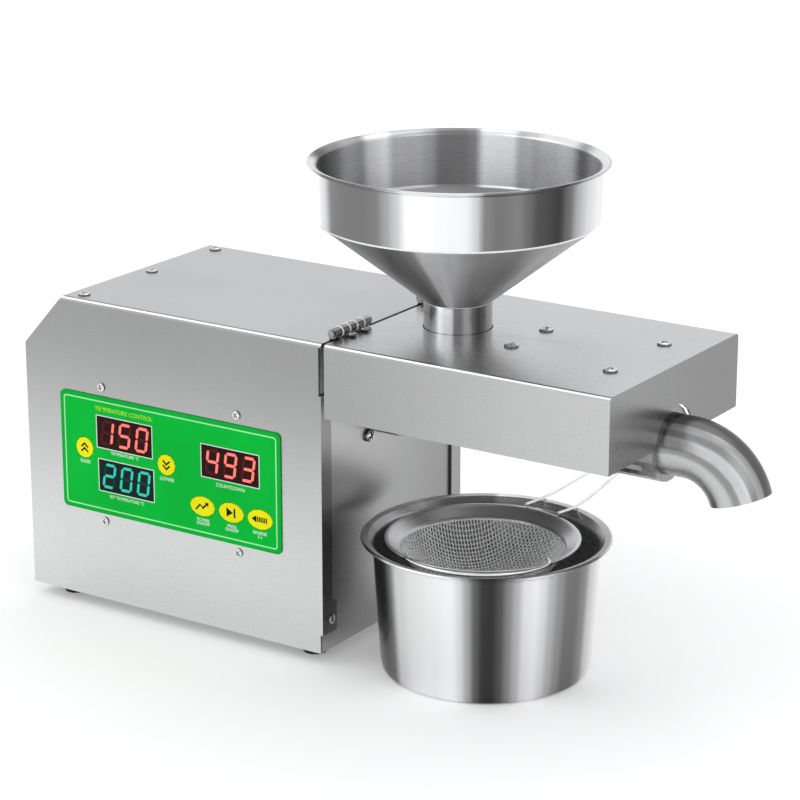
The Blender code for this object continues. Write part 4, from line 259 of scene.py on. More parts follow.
def moulded(name, colour, roughness, grainScale=700.0, bump=0.15, emission=None, strength=0.0,
            specular=0.5):
    # Moulded or printed plastic with a fine grain and a slight drift in its colour.
    material, tree, shader = newMaterial(name)
    shader.inputs["Specular IOR Level"].default_value = specular
    where = place(tree)
    grain = noise(tree, where, grainScale, 3.0)
    cloud = noise(tree, where, 25.0, 2.0)
    shade = mapRange(tree, cloud, 0.25, 0.75, 0.94, 1.06)
    scaled = addNode(tree, "ShaderNodeVectorMath", {"operation": "SCALE"}, {0: colour, "Scale": shade})
    tree.links.new(scaled.outputs[0], shader.inputs["Base Color"])
    grainedRoughness(tree, shader, grain, roughness - 0.04, roughness + 0.06)
    addBump(tree, shader, grain, bump, 0.00005)
    if emission:
        shader.inputs["Emission Color"].default_value = (*emission, 1)
        shader.inputs["Emission Strength"].default_value = strength
    return material


# Painted reflection bands round the axis: share of a turn from +X towards +Y, then tone
hopperStops = ((0.0, 0.52), (0.011, 0.66), (0.04, 0.80), (0.12, 0.62), (0.25, 0.30), (0.40, 0.62),
               (0.56, 0.45), (0.595, 0.98), (0.63, 0.96), (0.652, 0.70), (0.674, 0.19), (0.727, 0.18),
               (0.745, 0.20), (0.758, 0.34), (0.770, 0.54), (0.783, 0.92), (0.814, 0.93), (0.848, 0.86),
               (0.857, 0.66), (0.867, 0.22), (0.882, 0.17), (0.904, 0.20), (0.916, 0.14), (0.929, 0.08),
               (0.957, 0.045), (0.972, 0.14), (0.99, 0.40), (1.0, 0.52))
coneStops = ((0.0, 0.36), (0.25, 0.30), (0.50, 0.30), (0.60, 0.34), (0.69, 0.26), (0.727, 0.14),
             (0.747, 0.13), (0.766, 0.18), (0.783, 0.34), (0.797, 1.0), (0.813, 1.0), (0.828, 0.72),
             (0.850, 0.58), (0.868, 0.46), (0.89, 0.38), (0.912, 0.30), (0.937, 0.34), (0.957, 0.46),
             (1.0, 0.36))
neckStops = ((0.0, 0.36), (0.08, 0.50), (0.30, 0.40), (0.50, 0.40), (0.61, 0.35), (0.68, 0.36),
             (0.722, 0.42), (0.750, 1.0), (0.794, 1.0), (0.808, 0.92), (0.824, 0.26), (0.848, 0.24),
             (0.868, 0.36), (0.891, 0.30), (0.914, 0.14), (0.940, 0.08), (0.966, 0.14), (0.985, 0.24),
             (1.0, 0.36))
insideStops = ((0.0, 0.97), (0.12, 0.97), (0.133, 0.97), (0.166, 0.45), (0.19, 1.0), (0.232, 0.98),
               (0.247, 0.70), (0.264, 0.56), (0.276, 1.0), (0.308, 1.0), (0.321, 0.28), (0.334, 0.22),
               (0.360, 0.22), (0.374, 0.42), (0.388, 0.54), (0.417, 0.50), (0.432, 0.95), (0.45, 0.85),
               (0.466, 0.36), (0.489, 0.46), (0.515, 0.34), (0.556, 0.10), (0.60, 0.97), (1.0, 0.97))
cupInsideStops = ((0.0, 0.40), (0.18, 0.62), (0.265, 0.80), (0.318, 0.98), (0.330, 0.52), (0.395, 0.42),
                  (0.44, 0.72), (0.54, 0.34), (0.56, 0.20), (0.72, 0.55), (0.86, 0.30), (1.0, 0.40))
cupStops = ((0.0, 0.22), (0.022, 0.60), (0.05, 0.75), (0.20, 0.70), (0.36, 0.25), (0.50, 0.70),
            (0.58, 0.20), (0.655, 0.08), (0.678, 0.16), (0.698, 0.70), (0.73, 0.82), (0.79, 0.90),
            (0.80, 0.72), (0.811, 0.40), (0.822, 0.12), (0.833, 0.045), (0.845, 0.04), (0.857, 0.09),
            (0.868, 0.23), (0.88, 0.45), (0.892, 0.76), (0.907, 0.82), (0.92, 0.70), (0.932, 0.48),
            (0.947, 0.29), (0.963, 0.17), (0.98, 0.16), (1.0, 0.22))
sieveStops = ((0.0, 0.80), (0.10, 0.82), (0.20, 0.62), (0.45, 0.62), (0.60, 0.68), (0.80, 0.64),
              (1.0, 0.80))
# Painted reflection streaks along the elbow: share of a turn round the pipe, then tone
elbowStops = ((0.0, 0.56), (0.03, 0.54), (0.052, 0.31), (0.07, 0.34), (0.086, 0.72), (0.125, 0.74),
              (0.14, 0.34), (0.16, 0.32), (0.18, 0.48), (0.205, 0.40), (0.222, 0.14), (0.30, 0.10),
              (0.40, 0.20), (0.55, 0.30), (0.75, 0.30), (0.90, 0.30), (0.945, 0.30), (0.962, 0.54),
              (1.0, 0.56))
finishes = {
    # Sheet tones: the top tone and the front and end pairs are painted light and shade by face direction.
    "housing": sheetSteel("housing_sheet", 0.64, (0.68, 0.33), (0.30, 0.34)),
    "cover": sheetSteel("cover_sheet", 0.70, (0.37, 0.54), (0.28, 0.23), ("X", -0.01, 0.16), 0.27),
    "wall": sheetSteel("wall_sheet", 0.50, (0.50, 0.50), (0.52, 0.30)),
    "hopper": spunSteel("hopper_steel", hopperAxis, hopperStops, 0.22),
    "hopperInside": spunSteel("hopper_inside_steel", hopperAxis, insideStops, 0.28),
    "hopperCone": spunSteel("hopper_cone_steel", hopperAxis, coneStops, 0.34, 0.7),
    "hopperNeck": spunSteel("hopper_neck_steel", hopperAxis, neckStops, 0.22),
    # Painted highlight: a near-white, mostly diffuse finish for the hopper's fold faces and the hinge rings.
    "bright": plainSteel("painted_highlight_steel", 1.0, 0.25, metallic=0.2),
    "cup": spunSteel("cup_steel", (cup["x"], cup["y"]), cupStops, 0.22),
    "cupInside": spunSteel("cup_inside_steel", (cup["x"], cup["y"]), cupInsideStops, 0.25, 0.85),
    "sieve": spunSteel("sieve_rim_steel", (strainer["x"], strainer["y"]), sieveStops, 0.30),
    "mesh": plainSteel("mesh_wire_steel", 1.0, 0.30, metallic=0.3),
    "wire": plainSteel("bent_wire_steel", 0.85, 0.14),
    "elbow": bentSteel("elbow_steel", elbowStops, 0.30),
    "plain": plainSteel("turned_steel", 0.28, 0.3),
    "screw": turnedSteel("screw_steel", 0.16, 0.80, 0.22),
    "hinge": turnedSteel("hinge_steel", 0.32, 0.85, 0.25),
    "gear": plainSteel("gear_steel_oiled", 0.40, 0.28),
    "aluminium": plainSteel("gearbox_aluminium", 0.52, 0.5, bump=0.1),
    "brass": plainSteel("brass_turned", 0.75, 0.25, (1.0, 0.74, 0.34)),
    "mica": plainSteel("band_heater_steel", 0.45, 0.4, (1.0, 0.93, 0.8)),
    "rubber": moulded("foot_rubber", (0.02, 0.02, 0.02), 0.8, 500.0, 0.5),
    "black": moulded("black_moulding", (0.025, 0.025, 0.027), 0.45),
    "board": moulded("board_laminate", (0.02, 0.16, 0.06), 0.4),
    "green": moulded("panel_green", (0.001, 0.52, 0.045), 0.5, 900.0, 0.02, specular=0.06),
    "darkGreen": moulded("panel_border_green", (0.001, 0.46, 0.040), 0.5, 900.0, 0.02, specular=0.06),
    "mint": moulded("panel_line_mint", (0.42, 0.95, 0.48), 0.5, specular=0.1),
    "lime": moulded("print_lime", (0.50, 0.90, 0.03), 0.5, specular=0.1),
    "white": moulded("print_white", (0.85, 0.92, 0.86), 0.5, specular=0.1),
    "blackPrint": moulded("print_black", (0.006, 0.008, 0.006), 0.5, specular=0.1),
    "yellow": moulded("key_yellow", (0.93, 0.88, 0.004), 0.45, 900.0, 0.02, specular=0.1),
    "redGlass": moulded("display_dark_red", (0.022, 0.002, 0.002), 0.2, 900.0, 0.0, specular=0.1),
    "greenGlass": moulded("display_dark_green", (0.001, 0.016, 0.012), 0.2, 900.0, 0.0, specular=0.1),
    "redOff": moulded("segment_unlit_red", (0.085, 0.006, 0.006), 0.4, specular=0.1),
    "greenOff": moulded("segment_unlit_green", (0.003, 0.045, 0.035), 0.4, specular=0.1),
    "redLit": moulded("segment_lit_red", (0.6, 0.10, 0.08), 0.4, emission=(0.9, 0.16, 0.13),
                      strength=1.0, specular=0.1),
    "greenLit": moulded("segment_lit_green", (0.02, 0.35, 0.28), 0.4, emission=(0.03, 0.42, 0.33),
                        strength=0.7, specular=0.1),
}
print("stage: materials made")


def newPiece(name, bm, finish, body="root", smooth=math.radians(40)):
    bmesh.ops.recalc_face_normals(bm, faces=bm.faces)
    mesh = bpy.data.meshes.new(name)
    bm.to_mesh(mesh)
    bm.free()
    mesh.shade_smooth()
    mesh.set_sharp_from_angle(angle=smooth)
    piece = bpy.data.objects.new(name, mesh)
    scene.collection.objects.link(piece)
    piece.data.materials.append(finishes[finish])
    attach(piece, body)
    return piece


def bridge(bm, first, second):
    count = len(first)
    for index in range(count):
        after = (index + 1) % count
        bm.faces.new((first[index], first[after], second[after], second[index]))


def turned(bm, profile, centre, count=128, closed=True):
    # A profile of (height, radius) points turned about a vertical axis.
    rings = []
    for height, radius in profile:
        rings.append([bm.verts.new(at(centre[0] + radius * math.cos(math.tau * step / count),
                                      centre[1] + radius * math.sin(math.tau * step / count), height))
                      for step in range(count)])
    for first, second in zip(rings, rings[1:]):
        bridge(bm, first, second)
    if closed:
        bridge(bm, rings[-1], rings[0])
    else:
        bm.faces.new(rings[0])
        bm.faces.new(rings[-1])


def rounded(profile, radius, steps=4):
    # Rounds the corners of an open profile, each within a third of its sides.
    made = [Vector(profile[0])]
    for before, corner, after in zip(profile, profile[1:], profile[2:]):
        before, corner, after = Vector(before), Vector(corner), Vector(after)
        reach = min(radius, (before - corner).length / 3, (after - corner).length / 3)
        start = corner + (before - corner).normalized() * reach
        end = corner + (after - corner).normalized() * reach
        for step in range(steps + 1):
            share = step / steps
            made.append(start.lerp(corner, share).lerp(corner.lerp(end, share), share))
    made.append(Vector(profile[-1]))
    return [tuple(point) for point in made]


def wire(bm, path, radius, sides=10):
    # A round wire along points in metres, with flat ends.
    rings = []
    up = Vector((0.013, 0.021, 1)).normalized()
    for index, point in enumerate(path):
        heading = (path[min(index + 1, len(path) - 1)] - path[max(index - 1, 0)]).normalized()
        side = heading.cross(up).normalized()
        up = side.cross(heading)
        rings.append([bm.verts.new(point + (side * math.cos(math.tau * step / sides)
                                            + up * math.sin(math.tau * step / sides)) * radius)
                      for step in range(sides)])
    for first, second in zip(rings, rings[1:]):
        bridge(bm, first, second)
    bm.faces.new(rings[0])
    bm.faces.new(rings[-1])


def smoothPath(points, steps=8):
    # A Catmull-Rom curve through points in metres.
    points = [points[0]] + list(points) + [points[-1]]
    made = []
    for index in range(1, len(points) - 2):
        a, b, c, d = points[index - 1:index + 3]
        for step in range(steps):
            t = step / steps
            made.append(0.5 * (2 * b + (c - a) * t + (2 * a - 5 * b + 4 * c - d) * t * t
                               + (3 * b - a - 3 * c + d) * t ** 3))
    made.append(points[-2])
    return made


hopper = {"x": hopperAxis[0], "wall": 1.2, "neck": 18.6, "neckLow": 165.3, "coneLow": 198.0, "coneHigh": 242.1,
          "cone": 75.5, "drum": 76.7, "rim": 80.9, "rimZ": 274.5, "lip": 1.3, "rise": 1.4}


def lineInside(piece, finish, x, y):
    # Gives the faces that look at the axis their own material, with its own painted reflection bands.
    piece.data.materials.append(finishes[finish])
    axis = at(x, y, 0)
    for face in piece.data.polygons:
        outwards = Vector((face.center.x - axis.x, face.center.y - axis.y, 0))
        if face.normal.dot(outwards) < 0:
            face.material_index = 1


def makeHopper():
    h = hopper
    wall = h["wall"]
    outer = [(h["neckLow"], h["neck"]), (h["coneLow"] - 1.2, h["neck"]), (h["coneLow"], h["neck"] + 0.2),
             (h["coneHigh"], h["cone"] - 0.2), (h["coneHigh"] + 0.9, h["cone"] + 0.15),
             (h["rimZ"] - h["lip"] - h["rise"], h["drum"]), (h["rimZ"] - h["lip"] - 0.5, h["drum"] + 1.6),
             (h["rimZ"] - h["lip"] - 0.2, h["rim"] - 0.5), (h["rimZ"] - h["lip"] * 0.6, h["rim"]),
             (h["rimZ"], h["rim"] - h["lip"] * 0.7), (h["rimZ"] - 0.1, h["rim"] - h["lip"] - 0.9)]
    inner = [(h["rimZ"] - 0.7, h["drum"] + 0.5), (h["rimZ"] - 2.4, h["drum"] - wall),
             (h["coneHigh"] + 1.4, h["cone"] - wall), (h["coneHigh"] + 0.6, h["cone"] - wall - 0.6),
             (h["coneLow"] + 1.0, h["neck"] - wall + 0.5), (h["neckLow"], h["neck"] - wall)]
    bm = bmesh.new()
    profile = rounded(outer + inner, 1.2, 3)
    turned(bm, profile, (h["x"], 0), 160)
    piece = newPiece("hopper_spun", bm, "hopper", "hopper", math.radians(28))
    lineInside(piece, "hopperInside", h["x"], 0)
    for finish in ("hopperCone", "hopperNeck", "bright"):
        piece.data.materials.append(finishes[finish])
    # Cone and neck get their own painted reflection bands; fold faces of middling slope get a painted highlight
    # line.
    for face in piece.data.polygons:
        height = face.center.z / millimetre
        if face.material_index == 1 and face.normal.z > 0.4 and height < h["coneHigh"]:
            face.material_index = 2
        elif face.material_index == 0 and height < h["coneHigh"] + 1.5:
            slope = -face.normal.z
            if height < h["coneLow"] - 0.5:
                face.material_index = 3
            elif height < h["coneHigh"] - 0.1 and slope > 0.5:
                face.material_index = 2
            elif 0.12 < slope < 0.72:
                face.material_index = 4
    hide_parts("hopper")


makeHopper()
print("stage: hopper made")


def makeCup():
    c = cup
    wall = c["wall"]
    neck = c["height"] - 3.2
    outer = [(0.0, c["base"] - c["foot"] - 1.0), (0.0, c["base"] - c["foot"] + 1.0),
             (1.4, c["base"] - 0.9), (c["foot"] + 1.5, c["base"]), (neck - 1.6, c["top"]),
             (neck + 0.2, c["top"] + 1.2), (neck + 1.4, c["rim"] - 1.3), (c["height"] - 1.1, c["rim"]),
             (c["height"], c["rim"] - 1.0), (c["height"] - 0.2, c["rim"] - 2.6)]
    inner = [(c["height"] - 0.6, c["top"] + 2.4), (neck - 1.2, c["top"] - wall),
             (c["foot"] + 2.0, c["base"] - wall), (1.9, c["base"] - wall - 1.4),
             (wall, c["base"] - c["foot"] - 0.5)]
    bm = bmesh.new()
    turned(bm, rounded(outer + inner, 1.6, 4), (c["x"], c["y"]), 160, closed=False)
    piece = newPiece("oil_cup_spun", bm, "cup", "cup", math.radians(50))
    lineInside(piece, "cupInside", c["x"], c["y"])
    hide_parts("oil_cup")


makeCup()
print("stage: oil cup made")


wireZ = cup["height"] + 0.3 + strainer["wire"]
strainerTop = wireZ - strainer["wire"] - 0.3


def bowlHeight(radius):
    s = strainer
    top = strainerTop - s["drop"] - s["sheet"] - 0.3
    share = min(radius / s["opening"], 1.0)
    return top - s["depth"] * 0.92 * (1 - share ** 2.5)


def makeStrainerRim():
    s = strainer
    low = strainerTop - s["drop"]
    profile = [(strainerTop - 1.4, s["radius"] - 0.1), (strainerTop - 0.5, s["radius"]),
               (strainerTop, s["radius"] - 0.6), (strainerTop - 0.2, s["radius"] - 1.5),
               (strainerTop - 1.3, s["radius"] - 2.8), (low + 0.7, s["opening"] + 1.4),
               (low - 0.2, s["opening"] + 0.3), (low - 1.6, s["opening"] - 0.2),
               (low - 1.7, s["opening"] + 0.5), (low - 0.7, s["opening"] + 1.4)]
    bm = bmesh.new()
    turned(bm, profile, (s["x"], s["y"]), 128)
    piece = newPiece("strainer_rim_rolled", bm, "sieve", "strainer", math.radians(60))
    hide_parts("strainer_rim")


def makeStrainerMesh():
    # Woven wires along two diagonals, each passing over and under the others.
    s = strainer
    bm = bmesh.new()
    pitch = s["pitch"]
    reach = s["opening"] + 0.6
    lines = int(reach / pitch)
    diagonal = math.radians(45)
    for family in (0, 1):
        turn = diagonal + family * math.pi / 2
        heading = Vector((math.cos(turn), math.sin(turn)))
        across = Vector((-math.sin(turn), math.cos(turn)))
        for line in range(-lines, lines + 1):
            offset = line * pitch
            half = math.sqrt(max(reach ** 2 - offset ** 2, 0))
            count = int(half / pitch * 2)
            if count < 2:
                continue
            path = []
            for step in range(-count, count + 1):
                along = step * pitch / 2
                flat = heading * along + across * offset
                over = math.cos(math.pi * (along / pitch + line + family)) * s["meshWire"]
                path.append(at(s["x"] + flat.x, s["y"] + flat.y, bowlHeight(flat.length) + over))
            wire(bm, path, s["meshWire"] * millimetre, 4)
    piece = newPiece("strainer_woven_mesh", bm, "mesh", "strainer", math.radians(80))
    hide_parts("strainer_mesh")


def makeStrainerWires():
    s = strainer
    onRim = s["radius"] - s["wire"] - s["sheet"]
    restRadius = (cup["top"] + cup["rim"]) / 2
    centre = Vector((s["x"], s["y"], wireZ))
    cupCentre = Vector((cup["x"], cup["y"], wireZ))
    path = []
    start, end = math.radians(250), math.radians(343)
    for step in range(25):
        angle = start + (end - start) * step / 24
        heading = Vector((math.cos(angle), math.sin(angle), 0))
        share = math.sqrt(math.sin(math.pi * step / 24))
        path.append(at(*(centre + heading * onRim).lerp(cupCentre + heading * restRadius, share)))
    bm = bmesh.new()
    wire(bm, path, s["wire"] * millimetre)
    piece = newPiece("strainer_ear_wire", bm, "wire", "strainer")
    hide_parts("strainer_ear")

    h = handle
    heading = Vector((math.cos(h["heading"]), math.sin(h["heading"]), 0))
    side = Vector((heading.y, -heading.x, 0))
    level = cup["rim"] + cup["y"] - s["y"]
    tip, half = h["tip"] / 2, h["spread"] / 2
    bend = s["radius"] + h["reach"] - tip

    def handlePoint(along, across):
        rise = max(0, along - level) * math.tan(h["rise"])
        return at(*(centre + heading * along + side * across + Vector((0, 0, rise))))

    run = [(onRim, 0), (level, 0), ((level + bend) / 2, 0.5), (bend, 1)]
    right = [handlePoint(along, half + (tip - half) * share) for along, share in run]
    left = [handlePoint(along, -half - (tip - half) * share) for along, share in reversed(run)]
    turn = [handlePoint(bend + (tip - s["wire"]) * math.sin(math.pi * step / 8),
                        tip * math.cos(math.pi * step / 8)) for step in range(1, 8)]
    bm = bmesh.new()
    wire(bm, smoothPath(right + turn + left, 4), s["wire"] * millimetre)
    piece = newPiece("strainer_handle_wire", bm, "wire", "strainer")
    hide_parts("strainer_handle")


makeStrainerRim()
makeStrainerMesh()
makeStrainerWires()
print("stage: strainer made")


def makeElbow():
    e = elbow
    stations = [(e["start"], 0.0, e["flange"]), (e["start"] + e["flangeLength"], 0.0, e["flange"]),
                (e["start"] + e["flangeLength"], 0.0, e["radius"])]
    inner = e["radius"] - e["wall"]
    sides, steps = 72, 36
    bm = bmesh.new()

    def ring(centre, angle, radius):
        across = Vector((math.sin(angle), 0, math.cos(angle)))
        made = []
        for step in range(sides):
            turn = math.tau * step / sides
            offset = Vector((0, math.cos(turn), 0)) + across * math.sin(turn)
            made.append(bm.verts.new(at(*(centre + offset * radius))))
        return made

    rings = [ring(Vector((x, 0, e["axis"])), angle, radius) for x, angle, radius in stations]
    arc = []
    for step in range(steps + 1):
        angle = e["sweep"] * step / steps
        arc.append((angle, Vector((e["bendStart"] + e["bend"] * math.sin(angle), 0,
                                   e["axis"] - e["bend"] * (1 - math.cos(angle))))))
    rings += [ring(centre, angle, e["radius"]) for angle, centre in arc]
    rings += [ring(centre, angle, inner) for angle, centre in reversed(arc)]
    rings.append(ring(Vector((e["start"], 0, e["axis"])), 0, inner))
    for first, second in zip(rings, rings[1:]):
        bridge(bm, first, second)
    bridge(bm, rings[-1], rings[0])
    piece = newPiece("cake_elbow_bent", bm, "elbow", "root")
    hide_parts("cake_elbow")


makeElbow()
print("stage: elbow made")


panel = {"x": 101.3, "z": 94.0, "length": 152.6, "height": 69.4, "corner": 3.0, "front": -70.8,
         "lineInset": 2.5, "line": 0.75, "print": 0.04}
displays = {"temperature_display": (-30.9, 14.0, "150", "red"),
            "setting_display": (-30.3, -11.6, "200", "green"),
            "countdown_display": (42.4, 10.4, "493", "red")}
displaySize = (38.6, 18.2)
keys = {"key_raise": (-59.4, 2.7, 6.0, 6.0), "key_lower": (-1.3, 2.9, 6.0, 6.0),
        "key_power": (23.3, -16.6, 8.35, 5.65), "key_press": (43.0, -16.5, 8.35, 5.65),
        "key_reverse": (62.5, -16.7, 8.35, 5.65)}


def roundedOutline(length, height, corner, steps=6):
    points = []
    for sx, sz, start in ((1, 1, 0), (-1, 1, 90), (-1, -1, 180), (1, -1, 270)):
        for step in range(steps + 1):
            angle = math.radians(start + 90 * step / steps)
            points.append((sx * (length / 2 - corner) + corner * math.cos(angle),
                           sz * (height / 2 - corner) + corner * math.sin(angle)))
    return points


def addPrint(bm, outline, x, z, front, thickness, hole=None):
    # A flat film in the panel's plane, whose face looks forwards from front.
    def loop(points, y):
        return [bm.verts.new(at(panel["x"] + x + px, y, panel["z"] + z + pz)) for px, pz in points]

    face, back = loop(outline, front), loop(outline, front + thickness)
    bridge(bm, face, back)
    if hole:
        faceHole, backHole = loop(hole, front), loop(hole, front + thickness)
        bridge(bm, faceHole, backHole)
        bridge(bm, face, faceHole)
        bridge(bm, back, backHole)
    else:
        bm.faces.new(face)
        bm.faces.new(back)


def makePanelPrint():
    p = panel
    inset = p["lineInset"]
    border = bmesh.new()
    addPrint(border, roundedOutline(p["length"] - 0.1, p["height"] - 0.1, p["corner"]), 0, 0,
             p["front"] - p["print"], p["print"],
             roundedOutline(p["length"] - 2 * inset, p["height"] - 2 * inset, p["corner"] - 1))
    newPiece("panel_border_print", border, "darkGreen", "root")
    line = bmesh.new()
    addPrint(line, roundedOutline(p["length"] - 2 * inset, p["height"] - 2 * inset, p["corner"] - 1),
             0, 0, p["front"] - 1.5 * p["print"], 1.5 * p["print"],
             roundedOutline(p["length"] - 2 * inset - 2 * p["line"], p["height"] - 2 * inset - 2 * p["line"],
                            p["corner"] - 1 - p["line"]))
    newPiece("panel_line_print", line, "mint", "root")
    frames = bmesh.new()
    for x, z, _, _ in displays.values():
        addPrint(frames, roundedOutline(displaySize[0] + 1.3, displaySize[1] + 1.3, 0.5, 2), x, z,
                 p["front"] - p["print"], p["print"],
                 roundedOutline(displaySize[0] + 0.3, displaySize[1] + 0.3, 0.2, 2))
    newPiece("display_frames_print", frames, "white", "root")


# Segments of a digit: start and end in half widths and half heights
segments = {"a": ((-1, 1), (1, 1)), "b": ((1, 1), (1, 0)), "c": ((1, 0), (1, -1)),
            "d": ((-1, -1), (1, -1)), "e": ((-1, -1), (-1, 0)), "f": ((-1, 0), (-1, 1)),
            "g": ((-1, 0), (1, 0))}
digits = {"0": "abcdef", "1": "bc", "2": "abged", "3": "abgcd", "4": "fgbc", "5": "afgcd",
          "9": "abcdfg"}
digit = {"height": 13.2, "width": 7.0, "thickness": 1.65, "gap": 0.22, "pitch": 12.2,
         "slant": math.tan(math.radians(8))}


def segmentOutline(name, centre):
    d = digit
    start, end = (Vector((x * d["width"] / 2, z * d["height"] / 2)) for x, z in segments[name])
    heading = (end - start).normalized()
    side = Vector((-heading.y, heading.x)) * d["thickness"] / 2
    tip = d["thickness"] / 2
    start, end = start + heading * d["gap"], end - heading * d["gap"]
    corners = [start, start + heading * tip + side, end - heading * tip + side, end,
               end - heading * tip - side, start + heading * tip - side]
    return [(centre + point.x + point.y * d["slant"], point.y) for point in corners]


def makeDisplays():
    front = panel["front"] + 0.15
    for name, (x, z, text, colour) in displays.items():
        lit, dark = bmesh.new(), bmesh.new()
        for column, character in enumerate(text):
            centre = (column - 1) * digit["pitch"]
            for segment in segments:
                target = lit if segment in digits[character] else dark
                addPrint(target, segmentOutline(segment, centre), x, z, front, 0.05)
        newPiece(name + "_lit_segments", lit, colour + "Lit", "root")
        newPiece(name + "_unlit_segments", dark, colour + "Off", "root")


def circleOutline(radius, count=24):
    return [(radius * math.cos(math.tau * step / count), radius * math.sin(math.tau * step / count))
            for step in range(count)]


def strokeOutline(points, width):
    # A bent bar of constant width along a few points.
    left, right = [], []
    for index, point in enumerate(points):
        before = Vector(points[max(index - 1, 0)])
        after = Vector(points[min(index + 1, len(points) - 1)])
        heading = (after - before).normalized()
        normal = Vector((-heading.y, heading.x)) * width / 2
        turnIn = 1.0
        if 0 < index < len(points) - 1:
            near = (Vector(point) - before).normalized()
            turnIn = 1 / max(abs(near.dot(heading)), 0.5)
        left.append(tuple(Vector(point) + normal * turnIn))
        right.append(tuple(Vector(point) - normal * turnIn))
    return left + right[::-1]


signs = {
    "key_raise": [strokeOutline([(-2.4, base - 1.1), (0, base + 1.1), (2.4, base - 1.1)], 1.0)
                  for base in (1.4, -1.3)],
    "key_lower": [strokeOutline([(-2.4, base + 1.1), (0, base - 1.1), (2.4, base + 1.1)], 1.0)
                  for base in (1.3, -1.4)],
    "key_power": [strokeOutline([(-4.6, -2.4), (-1.6, 0.9), (0.4, -0.9), (2.7, 1.5)], 0.95),
                  [(1.6, 2.6), (4.2, 2.7), (3.9, 0.2)]],
    "key_press": [[(-3.2, 2.7), (1.2, 0), (-3.2, -2.7)], [(1.7, 2.7), (2.8, 2.7), (2.8, -2.7), (1.7, -2.7)]],
    "key_reverse": [[(-5.6, 0), (-2.5, 2.1), (-2.5, -2.1)]]
    + [[(x, 1.5), (x + 0.75, 1.5), (x + 0.75, -1.5), (x, -1.5)] for x in (-2.0, -0.8, 0.4, 1.6, 2.8, 4.0)],
}


def makeKeySigns():
    for name, (x, z, rx, rz) in keys.items():
        printed = bmesh.new()
        for outline in signs[name]:
            addPrint(printed, outline, x, z, panel["front"] - 0.4 - 0.05, 0.05)
        newPiece(name + "_sign", printed, "blackPrint", name)


def word(name, text, size, x, z, finish="white"):
    # A short generic caption printed on the film, centred on a place.
    curve = bpy.data.curves.new(name, "FONT")
    curve.body = text
    curve.size = size * millimetre
    curve.align_x, curve.align_y = "CENTER", "CENTER"
    curve.space_line = 0.85
    curve.offset = 0.00002
    curve.extrude = 0.00002
    source = bpy.data.objects.new(name + "_curve", curve)
    scene.collection.objects.link(source)
    bpy.context.view_layer.update()
    mesh = bpy.data.meshes.new_from_object(source.evaluated_get(bpy.context.evaluated_depsgraph_get()))
    bpy.data.objects.remove(source)
    spot = at(panel["x"] + x, panel["front"] - 0.02, panel["z"] + z)
    mesh.transform(Matrix.Translation(spot) @ Matrix.Rotation(math.pi / 2, 4, "X"))
    mesh.name = name
    piece = bpy.data.objects.new(name, mesh)
    scene.collection.objects.link(piece)
    mesh.materials.clear()
    mesh.materials.append(finishes[finish])
    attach(piece, "root")


degree = "\N{DEGREE SIGN}C"
captions = {"caption_title": ("TEMPERATURE CONTROL", 3.5, -30.9, 27.4, "lime"),
            "caption_raise": ("RAISE", 2.9, -59.4, -5.6, "white"),
            "caption_lower": ("LOWER", 2.9, -1.3, -5.6, "white"),
            "caption_now": ("TEMPERATURE " + degree, 2.5, -30.9, 2.5, "white"),
            "caption_set": ("SET TEMPERATURE " + degree, 2.5, -30.3, -23.6, "white"),
            "caption_timer": ("COUNTDOWN", 2.8, 42.4, -2.2, "white"),
            "caption_power": ("POWER\nON/OFF", 2.5, 23.3, -25.8, "white"),
            "caption_press": ("PRESS\nON/OFF", 2.5, 43.0, -25.7, "white"),
            "caption_reverse": ("REVERSE\n3 s", 2.5, 62.0, -25.9, "white")}

makePanelPrint()
makeDisplays()
makeKeySigns()
for name, (text, size, x, z, finish) in captions.items():
    word(name, text, size, x, z, finish)
print("stage: panel made")


screws = {"small": (2.5, 1.2), "top": (3.5, 1.4), "cover": (3.9, 1.6), "bolt": (3.6, 2.6)}


def screwMesh(kind):
    # A pan head with a cross recess, its axis along Z, seated on z = 0.
    radius, height = screws[kind]
    bm = bmesh.new()
    cells = 30
    grid = []
    for row in range(cells + 1):
        line = []
        for column in range(cells + 1):
            u, v = 2 * column / cells - 1, 2 * row / cells - 1
            x = u * math.sqrt(1 - v * v / 2)
            y = v * math.sqrt(1 - u * u / 2)
            away = min(math.hypot(x, y), 1.0)
            dome = height * (0.30 + 0.70 * math.sqrt(max(1 - (away * 0.97) ** 3.2, 0)))
            arm, wide = 0.58, 0.13

            def inside(a, b):
                across = min(max((wide - abs(b)) / 0.05 + 0.5, 0), 1)
                return across * min(max((arm - abs(a)) / 0.08 + 0.5, 0), 1)

            recess = max(inside(x, y), inside(y, x)) * height * 0.55
            line.append(bm.verts.new(Vector((x * radius, y * radius, dome - recess)) * millimetre))
        grid.append(line)
    for row in range(cells):
        for column in range(cells):
            bm.faces.new((grid[row][column], grid[row][column + 1], grid[row + 1][column + 1],
                          grid[row + 1][column]))
    edge = grid[0][:] + [line[-1] for line in grid[1:]] + grid[-1][-2::-1] + [line[0] for line in grid[-2:0:-1]]
    foot = [bm.verts.new((vert.co.x, vert.co.y, 0)) for vert in edge]
    bridge(bm, edge, foot)
    bm.faces.new(foot)
    bmesh.ops.recalc_face_normals(bm, faces=bm.faces)
    mesh = bpy.data.meshes.new("screw_head_" + kind)
    bm.to_mesh(mesh)
    bm.free()
    mesh.shade_smooth()
    mesh.set_sharp_from_angle(angle=math.radians(50))
    mesh.materials.append(finishes["screw"])
    return mesh


heads = {kind: screwMesh(kind) for kind in screws}
facing = {"top": Matrix.Identity(4), "front": Matrix.Rotation(math.pi / 2, 4, "X"),
          "back": Matrix.Rotation(-math.pi / 2, 4, "X"), "left": Matrix.Rotation(-math.pi / 2, 4, "Y"),
          "right": Matrix.Rotation(math.pi / 2, 4, "Y")}


